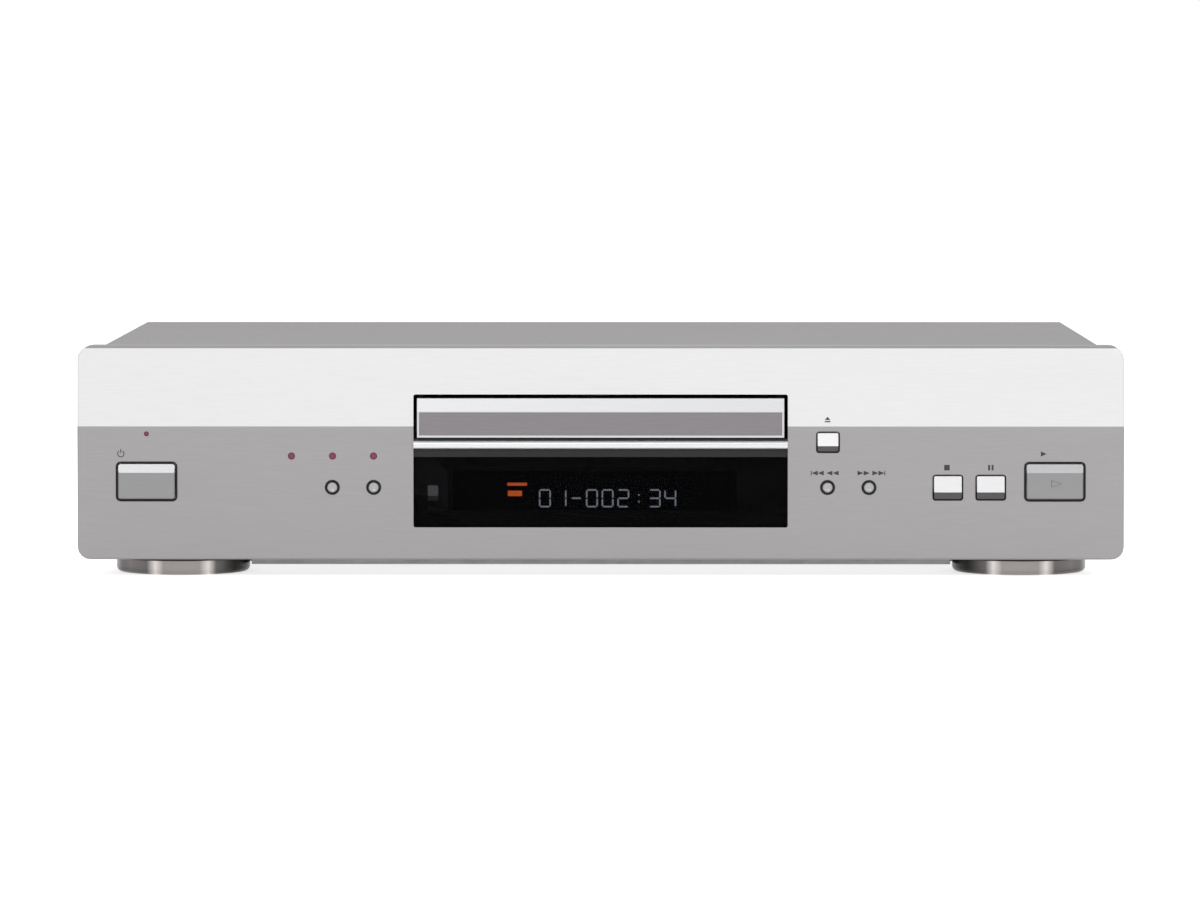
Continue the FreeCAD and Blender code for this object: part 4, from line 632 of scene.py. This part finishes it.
for key in ("progressive_button", "video_off_button", "previous_button", "next_button"):
    key_low, key_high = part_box(key)
    centre_x = (key_low.x + key_high.x) / 2
    centre_z = (key_low.z + key_high.z) / 2
    flange_half = (key_high.x - key_low.x) / 2
    flange_depths = [vertex.co.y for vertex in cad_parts[key].data.vertices
                     if abs(vertex.co.x - centre_x) > tip_radius + flange_margin]
    flange_front = key_high.y - min(flange_depths)
    flange_back = key_high.y - max(flange_depths)
    length = key_high.y - key_low.y
    tip_profile = [(0, 0), (stem_radius, 0), (stem_radius, flange_back), (flange_half, flange_back),
                   (flange_half, flange_front), (tip_radius, flange_front), (tip_radius, length - tip_bevel),
                   (tip_radius - tip_bevel, length)]
    for step in range(dimple_steps + 1):
        share = step / dimple_steps
        tip_profile.append((dimple_radius * (1 - share),
                            length - dimple_depth * math.sin(share * math.pi / 2)))
    tip_mesh = turned(key + "_tip", tip_profile, button_steps)
    tip_mesh.transform(Matrix.Translation((centre_x, key_high.y, centre_z))
                       @ Matrix.Rotation(math.pi / 2, 4, "X"))
    tip_mesh.materials.append(tip_metal)
    tip = placed(key + "_tip", tip_mesh)
    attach(tip, key)
    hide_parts(key)


# Indicator lamps
# Crimson light pipes, lit from behind.

lens_red = (0.17, 0.014, 0.05, 1.0)
lens_glow = 0.25
lens_roughness = 0.25
crimson_lens = new_material("crimson_lens", {
    "Base Color": lens_red, "Roughness": lens_roughness, "Emission Color": lens_red,
    "Emission Strength": lens_glow})[0]
dress(crimson_lens, "indicator_lenses")


# Display tube and remote receiver
# Dark glass tube whose lit segments show pale blue through the window, with two orange bars beside them. The
# receiver is a grey block with a faint painted glow of its own, though it is no lamp.

tube_dark = (0.008, 0.009, 0.011, 1.0)
tube_shade = (0.012, 0.013, 0.016, 1.0)
tube_roughness = 0.2
tube_grain_scale = 40.0
receiver_grey = (0.84, 0.85, 0.87, 1.0)
receiver_shade = (0.90, 0.91, 0.93, 1.0)
# Painted light: the receiver glows faintly so that it shows behind the smoked window.
receiver_painted_glow = 0.27
receiver_roughness = 0.4
segment_blue = (0.50, 0.53, 0.58, 1.0)
segment_orange = (0.9, 0.16, 0.03, 1.0)
segment_glow = 1.7
bar_glow = 2.6
bar_spans = [
    # left, right, low and high, in millimetres
    (-37.5, -29.6, 36.4, 37.6), (-37.3, -31.6, 32.2, 34.4)]
digit_height = 6.7 * MM
digit_width = 4.2 * MM
digit_pitch = 6.3 * MM
digit_left = -24.5 * MM
digit_low = 28.0 * MM
segment_width = 0.65 * MM
segment_gap = 0.12 * MM
colon_reach = digit_height / 5
tube_clearance = 0.05 * MM
shown_places = "01-002:34"
lit_segments = {"0": "abcdef", "1": "bc", "2": "abged", "3": "abgcd", "4": "fgbc", "-": "g"}

dress(moulding("tube_glass", tube_dark, tube_shade, tube_roughness, tube_grain_scale, 0.0,
               {"Specular IOR Level": 0.0}), "display_tube")
receiver = moulding("receiver_grey", receiver_grey, receiver_shade, receiver_roughness,
                    values={"Emission Color": receiver_grey, "Emission Strength": receiver_painted_glow})
dress(receiver, "remote_receiver")
segment_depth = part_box("display_tube")[0].y - tube_clearance


def flat_mesh(name, polygons, depth):
    """Flat polygons of X and Z that face the front, at one depth."""
    mesh = bpy.data.meshes.new(name)
    corners = []
    faces = []
    for polygon in polygons:
        area = sum(a[0] * b[1] - b[0] * a[1] for a, b in zip(polygon, polygon[1:] + polygon[:1]))
        ordered = polygon if area > 0 else polygon[::-1]
        faces.append(range(len(corners), len(corners) + len(ordered)))
        corners += [(x, depth, z) for x, z in ordered]
    mesh.from_pydata(corners, [], [list(face) for face in faces])
    return placed(name, mesh)


def upright_bar(x, z, width, height):
    """Upright four-sided shape about its middle."""
    return [(x - width / 2, z - height / 2), (x + width / 2, z - height / 2),
            (x + width / 2, z + height / 2), (x - width / 2, z + height / 2)]


def segment_shapes(text):
    """Lit segments of a row of digits, as polygons with pointed ends."""
    shapes = []
    half = segment_width / 2
    middle = digit_low + digit_height / 2
    for index, mark in enumerate(text):
        left = digit_left + index * digit_pitch
        right = left + digit_width
        if mark == ":":
            for z in (middle - colon_reach, middle + colon_reach):
                shapes.append(upright_bar((left + right) / 2, z, segment_width, segment_width))
            continue
        top = digit_low + digit_height
        spans = {"a": (left, top, right, top), "g": (left, middle, right, middle),
                 "d": (left, digit_low, right, digit_low), "f": (left, middle, left, top),
                 "b": (right, middle, right, top), "e": (left, digit_low, left, middle),
                 "c": (right, digit_low, right, middle)}
        for letter in lit_segments[mark]:
            x0, z0, x1, z1 = spans[letter]
            gap = half + segment_gap
            if z0 == z1:
                shapes.append([(x0 + gap, z0 - half), (x1 - gap, z0 - half), (x1 - segment_gap, z0),
                               (x1 - gap, z0 + half), (x0 + gap, z0 + half), (x0 + segment_gap, z0)])
            else:
                shapes.append([(x0 - half, z0 + gap), (x0, z0 + segment_gap), (x0 + half, z0 + gap),
                               (x0 + half, z1 - gap), (x0, z1 - segment_gap), (x0 - half, z1 - gap)])
    return shapes


def glowing(name, colour, strength):
    """Material that glows in its own colour."""
    return new_material(name, {"Base Color": colour, "Emission Color": colour,
                               "Emission Strength": strength})[0]


display_digits = flat_mesh("display_digits", segment_shapes(shown_places), segment_depth)
display_digits.data.materials.append(glowing("pale_segments", segment_blue, segment_glow))
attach(display_digits, "root")
orange_bars = []
for left, right, low, high in bar_spans:
    orange_bars.append([(left * MM, low * MM), (right * MM, low * MM), (right * MM, high * MM),
                        (left * MM, high * MM)])
display_marks = flat_mesh("display_marks", orange_bars, segment_depth)
display_marks.data.materials.append(glowing("orange_segments", segment_orange, bar_glow))
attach(display_marks, "root")


# Front board and key switches
# Brown paper laminate with a dull surface, and small switches with black bodies.

board_brown = (0.16, 0.10, 0.05, 1.0)
board_brown_shade = (0.20, 0.13, 0.07, 1.0)
laminate_roughness = 0.6
switch_roughness = 0.45
dress(moulding("brown_laminate", board_brown, board_brown_shade, laminate_roughness), "front_board")
dress(moulding("switch_black", black_base, black_shade, switch_roughness), "key_switches")


# Loader frame, tray, gears, cam and clamp
# Moulded in grey and black plastic, with natural white nylon for the gears and the cam.

loader_grey = (0.10, 0.10, 0.11, 1.0)
loader_grey_shade = (0.13, 0.13, 0.14, 1.0)
tray_black = (0.03, 0.03, 0.033, 1.0)
tray_black_shade = (0.042, 0.042, 0.046, 1.0)
nylon_white = (0.74, 0.73, 0.68, 1.0)
nylon_shade = (0.68, 0.67, 0.62, 1.0)
loader_roughness = 0.5
tray_roughness = 0.42
nylon_roughness = 0.4
belt_roughness = 0.75
pickup_roughness = 0.4
dress(moulding("loader_grey", loader_grey, loader_grey_shade, loader_roughness), "loader_frame")
dress(moulding("tray_black", tray_black, tray_black_shade, tray_roughness), "disc_tray")
nylon = moulding("nylon", nylon_white, nylon_shade, nylon_roughness)
dress(nylon, "drive_gear", "pulley_gear", "cam_slider", "turntable", "clamp_disc")
soft_rubber = moulding("soft_rubber", rubber_base, rubber_shade, belt_roughness)
dress(soft_rubber, "drive_belt", "loader_dampers")
dress(moulding("pickup_black", black_base, black_shade, pickup_roughness), "pickup")


# Traverse, rods, motors, pulley and lens
# Traverse of grey moulding, ground steel rods, and small motors in nickelled cans.

steel_light = (0.62, 0.62, 0.62, 1.0)
steel_dark = (0.52, 0.52, 0.52, 1.0)
brass_light = (0.72, 0.52, 0.24, 1.0)
brass_dark = (0.62, 0.44, 0.20, 1.0)
coating_blue = (0.25, 0.36, 0.60, 1.0)
coating_roughness = 0.05
steel_finish = (0.95, 0.28)
brass_finish = (0.95, 0.3)
dress(moulding("traverse_grey", loader_grey, loader_grey_shade, loader_roughness), "traverse_frame")
ground_steel = brushed("ground_steel", steel_light, steel_dark, *steel_finish)
dress(ground_steel, "guide_rods", "loading_motor", "feed_motor", "spindle_motor")
dress(brushed("turned_brass", brass_light, brass_dark, *brass_finish), "motor_pulley")
coated_lens = new_material("coated_lens", {
    "Base Color": coating_blue, "Roughness": coating_roughness, "Coat Weight": 1.0})[0]
dress(coated_lens, "objective_lens")


# Screw heads
# Blackened pan heads with a cross recess. They hold the cover, the jack block and the clamp bridge, and each
# looks away from the sheet that it holds.

steel_black = (0.06, 0.06, 0.062, 1.0)
steel_black_worn = (0.09, 0.09, 0.092, 1.0)
head_finish = (0.7, 0.4)
head_radius = 3.2 * MM
head_height = 1.8 * MM
head_rim = 0.5 * MM
head_steps = 32
recess_width = 0.75 * MM
recess_reach = 1.7 * MM
recess_depth = 1.0 * MM
dome_steps = 8
weld_distance = 0.001 * MM


def islands(mesh):
    """Box of each separate solid of a mesh, as its low and its high corner."""
    form = bmesh.new()
    form.from_mesh(mesh)
    bmesh.ops.remove_doubles(form, verts=form.verts, dist=weld_distance)
    waiting = set(form.verts)
    boxes = []
    while waiting:
        reached = [waiting.pop()]
        solid = []
        while reached:
            vertex = reached.pop()
            solid.append(vertex.co.copy())
            for edge in vertex.link_edges:
                other = edge.other_vert(vertex)
                if other in waiting:
                    waiting.remove(other)
                    reached.append(other)
        boxes.append((Vector([min(point[axis] for point in solid) for axis in range(3)]),
                      Vector([max(point[axis] for point in solid) for axis in range(3)])))
    form.free()
    return sorted(boxes, key=lambda box: tuple(box[0]))


def block_mesh(name, boxes):
    """Mesh of upright boxes, each as its low and its high corner."""
    form = bmesh.new()
    for low, high in boxes:
        size = Vector(high) - Vector(low)
        place = Matrix.Translation((Vector(high) + Vector(low)) / 2)
        stretch = Matrix.Diagonal((size.x, size.y, size.z, 1.0))
        bmesh.ops.create_cube(form, size=1.0, matrix=place @ stretch)
    mesh = bpy.data.meshes.new(name)
    form.to_mesh(mesh)
    form.free()
    return mesh


def with_cross(mesh):
    """Head mesh with a cross cut into its top."""
    head = placed("head_blank", mesh)
    cutters = []
    over = 2 * head_height
    bottom = head_height - recess_depth
    for half_x, half_y in ((recess_reach, recess_width / 2), (recess_width / 2, recess_reach)):
        arm = block_mesh("recess_arm", [((-half_x, -half_y, bottom), (half_x, half_y, over))])
        cutter = placed("recess_cutter", arm)
        cut = head.modifiers.new("recess", "BOOLEAN")
        cut.operation = "DIFFERENCE"
        cut.solver = "EXACT"
        cut.object = cutter
        cutters.append(cutter)
    graph = bpy.context.evaluated_depsgraph_get()
    result = bpy.data.meshes.new_from_object(head.evaluated_get(graph))
    for done in cutters + [head]:
        bpy.data.objects.remove(done)
    return result


head_profile = [(0, 0), (head_radius, 0), (head_radius, head_rim)]
for step in range(1, dome_steps + 1):
    head_angle = math.pi / 2 * step / dome_steps
    head_profile.append((head_radius * math.cos(head_angle),
                         head_rim + (head_height - head_rim) * math.sin(head_angle)))
head_profile[-1] = (0, head_height)
screw_places = []
for low, high in islands(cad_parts["assembly_screws"].data):
    size = high - low
    middle = (low + high) / 2
    if size.x < size.z and size.x < size.y:
        outward = 1 if middle.x > 0 else -1
        seat = (middle.x - outward * size.x / 2, middle.y, middle.z)
        screw_places.append((seat, (0.0, outward * math.pi / 2, 0.0)))
    elif size.y < size.z:
        screw_places.append(((middle.x, low.y, middle.z), (-math.pi / 2, 0.0, 0.0)))
    else:
        screw_places.append(((middle.x, middle.y, low.z), (0.0, 0.0, 0.0)))
screw_heads = copies("screw_heads", with_cross(turned("screw_head", head_profile, head_steps)), screw_places,
                     brushed("blackened_steel", steel_black, steel_black_worn, *head_finish))
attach(screw_heads, "root")
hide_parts("assembly_screws")


# Lead screw
# Rolled steel thread that drives the pickup's half nut.

thread_pitch = 3.0 * MM
thread_depth = 0.35 * MM
thread_steps = 24
rings_per_pitch = 12
screw_low, screw_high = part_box("lead_screw")
screw_radius = (screw_high.x - screw_low.x) / 2
screw_centre = (screw_low + screw_high) / 2
ring_count = int((screw_high.y - screw_low.y) / thread_pitch * rings_per_pitch)
thread_form = bmesh.new()
thread_rings = []
for ring_index in range(ring_count + 1):
    depth = screw_low.y + (screw_high.y - screw_low.y) * ring_index / ring_count
    ring = []
    for step in range(thread_steps):
        turn = (ring_index / rings_per_pitch - step / thread_steps) % 1.0
        radius = screw_radius - thread_depth * abs(2 * turn - 1)
        thread_angle = 2 * math.pi * step / thread_steps
        ring.append(thread_form.verts.new((screw_centre.x + radius * math.cos(thread_angle), depth,
                                           screw_centre.z + radius * math.sin(thread_angle))))
    thread_rings.append(ring)
for lower, upper in zip(thread_rings, thread_rings[1:]):
    for step in range(thread_steps):
        after = (step + 1) % thread_steps
        thread_form.faces.new((lower[step], lower[after], upper[after], upper[step]))
thread_form.faces.new(thread_rings[0])
thread_form.faces.new(thread_rings[-1])
bmesh.ops.recalc_face_normals(thread_form, faces=thread_form.faces)
thread_mesh = bpy.data.meshes.new("lead_screw_thread")
thread_form.to_mesh(thread_mesh)
thread_form.free()
thread_mesh.materials.append(ground_steel)
lead_thread = placed("lead_screw_thread", thread_mesh)
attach(lead_thread, "lead_screw")
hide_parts("lead_screw")


# Boards and what stands on them
# Green glass-fibre boards, black packages, a varnished core, blue-sleeved capacitors, a drawn aluminium sink
# and a grey ribbon.

board_green = (0.03, 0.14, 0.06, 1.0)
board_green_shade = (0.045, 0.19, 0.08, 1.0)
chip_black = (0.015, 0.015, 0.016, 1.0)
core_dark = (0.08, 0.06, 0.05, 1.0)
core_shade = (0.13, 0.10, 0.07, 1.0)
sleeve_blue = (0.02, 0.035, 0.10, 1.0)
sleeve_shade = (0.03, 0.05, 0.14, 1.0)
cable_grey = (0.62, 0.62, 0.60, 1.0)
cable_shade = (0.55, 0.55, 0.53, 1.0)
board_roughness = 0.4
chip_roughness = 0.5
core_roughness = 0.45
sleeve_roughness = 0.35
cable_roughness = 0.5
sink_finish = (0.85, 0.4)
green_board = moulding("green_board", board_green, board_green_shade, board_roughness)
dress(green_board, "power_board", "main_board", "output_board")
dress(moulding("chip_black", chip_black, black_shade, chip_roughness), "board_chips")
dress(moulding("varnished_core", core_dark, core_shade, core_roughness), "power_transformer")
dress(moulding("capacitor_sleeve", sleeve_blue, sleeve_shade, sleeve_roughness), "power_capacitors")
dress(brushed("drawn_aluminium", steel_light, steel_dark, *sink_finish), "power_heatsink")
dress(moulding("cable_grey", cable_grey, cable_shade, cable_roughness), "flat_cable")


# Louvres of the rear panel
# Each of the nine upright slits has a fin of the same sheet bent inwards behind it, so nothing shows through.

slit_count = 9
slit_first = -95.0 * MM
slit_pitch = 7.0 * MM
slit_low, slit_high = 38.0 * MM, 62.0 * MM
fin_reach = 3.6 * MM
fin_sheet = 0.6 * MM
panel_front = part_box("rear_panel")[0].y
fin_half = (slit_high - slit_low) / 2
fin_plan = [(0, 0), (fin_sheet, 0), (fin_reach + fin_sheet, -fin_reach), (fin_reach, -fin_reach)]
fin_mesh = bpy.data.meshes.new("louvre_fin")
fin_sides = [(0, 3, 2, 1), (4, 5, 6, 7), (0, 1, 5, 4), (1, 2, 6, 5), (2, 3, 7, 6), (3, 0, 4, 7)]
fin_mesh.from_pydata([(x, y, z) for z in (-fin_half, fin_half) for x, y in fin_plan], [], fin_sides)
fin_form = bmesh.new()
fin_form.from_mesh(fin_mesh)
bmesh.ops.recalc_face_normals(fin_form, faces=fin_form.faces)
fin_form.to_mesh(fin_mesh)
fin_form.free()
fin_places = [((slit_first + index * slit_pitch, panel_front, (slit_low + slit_high) / 2), (0.0, 0.0, 0.0))
              for index in range(slit_count)]
louvres = copies("vent_louvres", fin_mesh, fin_places, zinc)
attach(louvres, "root")


# Connectors in the rear panel
# A black moulded block behind the jacks, two black sockets beside it and the black mains inlet.

connector_black = moulding("connector_black", black_base, black_shade, switch_roughness)
dress(connector_black, "jack_housings", "video_sockets", "mains_inlet")


# Jack shells and their inserts
# Turned brass shells with a gold flash, and moulded rings inside them: white over red for each pair of sound,
# and yellow over black in the third column for the picture and the digital sound.

gold_light = (0.80, 0.58, 0.26, 1.0)
gold_dark = (0.72, 0.50, 0.20, 1.0)
gold_finish = (0.95, 0.25)
shell_radius = 4.15 * MM
shell_edge = 0.25 * MM
shell_steps = 48
insert_outer = 2.85 * MM
insert_bore = 1.6 * MM
insert_length = 6.0 * MM
insert_sink = 0.6 * MM
insert_steps = 32
insert_roughness = 0.4
insert_colours = {"white": (0.75, 0.74, 0.72, 1.0), "red": (0.45, 0.02, 0.02, 1.0),
                  "yellow": (0.70, 0.50, 0.03, 1.0), "black": black_base}
insert_rows = {"white": [(0, 1), (1, 1)], "red": [(0, 0), (1, 0)], "yellow": [(2, 1)], "black": [(2, 0)]}
shells_low, shells_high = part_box("jack_barrels")
column_step = (shells_high.x - shells_low.x - 2 * shell_radius) / 2
row_step = shells_high.z - shells_low.z - 2 * shell_radius
shell_length = shells_high.y - shells_low.y
shell_floor = shell_length - insert_sink - insert_length


def jack_place(column, row, depth):
    """Centre of a jack at a depth, and the turn that makes it look to the rear."""
    return ((shells_low.x + shell_radius + column * column_step, depth,
             shells_low.z + shell_radius + row * row_step), (-math.pi / 2, 0.0, 0.0))


shell_profile = [(0, 0), (shell_radius, 0), (shell_radius, shell_length - shell_edge),
                 (shell_radius - shell_edge, shell_length), (insert_outer + shell_edge, shell_length),
                 (insert_outer, shell_length - shell_edge), (insert_outer, shell_floor), (0, shell_floor)]
shell_places = [jack_place(column, row, shells_low.y) for column in range(3) for row in range(2)]
gold_shells = copies("jack_shells", turned("jack_shell", shell_profile, shell_steps), shell_places,
                     brushed("gold_flash", gold_light, gold_dark, *gold_finish))
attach(gold_shells, "root")
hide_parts("jack_barrels")
insert_profile = [(insert_bore, 0), (insert_outer, 0), (insert_outer, insert_length),
                  (insert_bore, insert_length), (insert_bore, 0)]
for name, colour in insert_colours.items():
    places = [jack_place(column, row, shells_low.y + shell_floor) for column, row in insert_rows[name]]
    rings = copies("jack_inserts_" + name, turned("insert_" + name, insert_profile, insert_steps), places,
                   moulding("insert_" + name, colour, colour, insert_roughness))
    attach(rings, "root")


# Printed signs
# Only the usual signs, in dark grey: power, eject, skip, stop, pause and play on the fascia, and an outlined
# play sign on the wide key. No words are printed.

print_grey = (0.035, 0.035, 0.037, 1.0)
print_pale = (0.12, 0.12, 0.122, 1.0)
print_lift = 0.03 * MM
fascia_lean = 2.5 * MM
crease_rise = 32.0 * MM
print_roughness = 0.7
arc_steps = 20
power_x, power_z = -192.5 * MM, 49.5 * MM
power_radius = 1.45 * MM
power_arc = (125, 415)
power_stroke_share = 0.75
line_width = 0.36 * MM
eject_x, eject_z = 91.0 * MM, 63.3 * MM
eject_half = 1.1 * MM
eject_foot = 0.2 * MM
eject_bar_drop = 0.85 * MM
eject_bar_height = 0.5 * MM
skip_x = {-1: 90.1 * MM, 1: 108.4 * MM}
skip_z = 41.8 * MM
skip_bar = 5.6 * MM
skip_points = (-4.15 * MM, -1.65 * MM, 1.8 * MM, 4.25 * MM)
skip_height = 1.9 * MM
skip_length = 2.45 * MM
stop_x, pause_x, above_keys = 138.9 * MM, 156.5 * MM, 44.0 * MM
mark_size = 2.2 * MM
pause_bar = 0.8 * MM
small_play = (177.7 * MM, 49.5 * MM, 2.3 * MM, 2.1 * MM)
play_x, play_z = 182.9 * MM, 37.6 * MM
play_length, play_height = 4.4 * MM, 2.9 * MM
play_inner_share = 0.8


def lean_at(z):
    """How far the fascia leans back at a height."""
    return max(0.0, z - crease_line) * fascia_lean / crease_rise


def triangle(x, z, length, height, way):
    """Pointed sign, to the right for 1 and to the left for -1."""
    half = height / 2
    return [(x - way * length / 2, z - half), (x + way * length / 2, z), (x - way * length / 2, z + half)]


def arc_band(x, z, radius, width, start, end):
    """Part of a ring as short four-sided shapes."""
    shapes = []
    inner = radius - width
    turns = [math.radians(start + (end - start) * index / arc_steps) for index in range(arc_steps + 1)]
    for a, b in zip(turns, turns[1:]):
        shapes.append([(x + radius * math.cos(a), z + radius * math.sin(a)),
                       (x + radius * math.cos(b), z + radius * math.sin(b)),
                       (x + inner * math.cos(b), z + inner * math.sin(b)),
                       (x + inner * math.cos(a), z + inner * math.sin(a))])
    return shapes


def printing(name, colour):
    """Matt ink."""
    return new_material(name, {"Base Color": colour, "Roughness": print_roughness})[0]


signs = arc_band(power_x, power_z, power_radius, line_width, *power_arc)
signs.append(upright_bar(power_x, power_z + power_radius * power_stroke_share, line_width, power_radius))
signs.append([(eject_x - eject_half, eject_z - eject_foot), (eject_x + eject_half, eject_z - eject_foot),
              (eject_x, eject_z + eject_half)])
signs.append(upright_bar(eject_x, eject_z - eject_bar_drop, 2 * eject_half, eject_bar_height))
for way in (-1, 1):
    signs.append(upright_bar(skip_x[way] + way * skip_bar, skip_z, line_width, skip_height))
    for point in skip_points:
        signs.append(triangle(skip_x[way] + way * point, skip_z, skip_length, skip_height, way))
signs.append(upright_bar(stop_x, above_keys, mark_size, mark_size))
for side in (-1, 1):
    signs.append(upright_bar(pause_x + side * (mark_size - pause_bar) / 2, above_keys, pause_bar, mark_size))
signs.append(triangle(*small_play, 1))
printed_signs = flat_mesh("printed_signs", signs, fascia_low.y - print_lift)
for vertex in printed_signs.data.vertices:
    vertex.co.y += lean_at(vertex.co.z)
printed_signs.data.materials.append(printing("printed_ink", print_grey))
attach(printed_signs, "root")

play_corners = triangle(play_x, play_z, play_length, play_height, 1)
play_centre = play_x - play_length / 6  # the centroid lies a sixth behind the middle
play_inside = [(play_centre + (x - play_centre) * play_inner_share, play_z + (z - play_z) * play_inner_share)
               for x, z in play_corners]
play_outline = [[play_corners[index], play_corners[(index + 1) % 3], play_inside[(index + 1) % 3],
                 play_inside[index]] for index in range(3)]
play_sign = flat_mesh("play_sign", play_outline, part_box("play_button")[0].y - print_lift)
play_sign.data.materials.append(printing("pale_ink", print_pale))
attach(play_sign, "play_button")
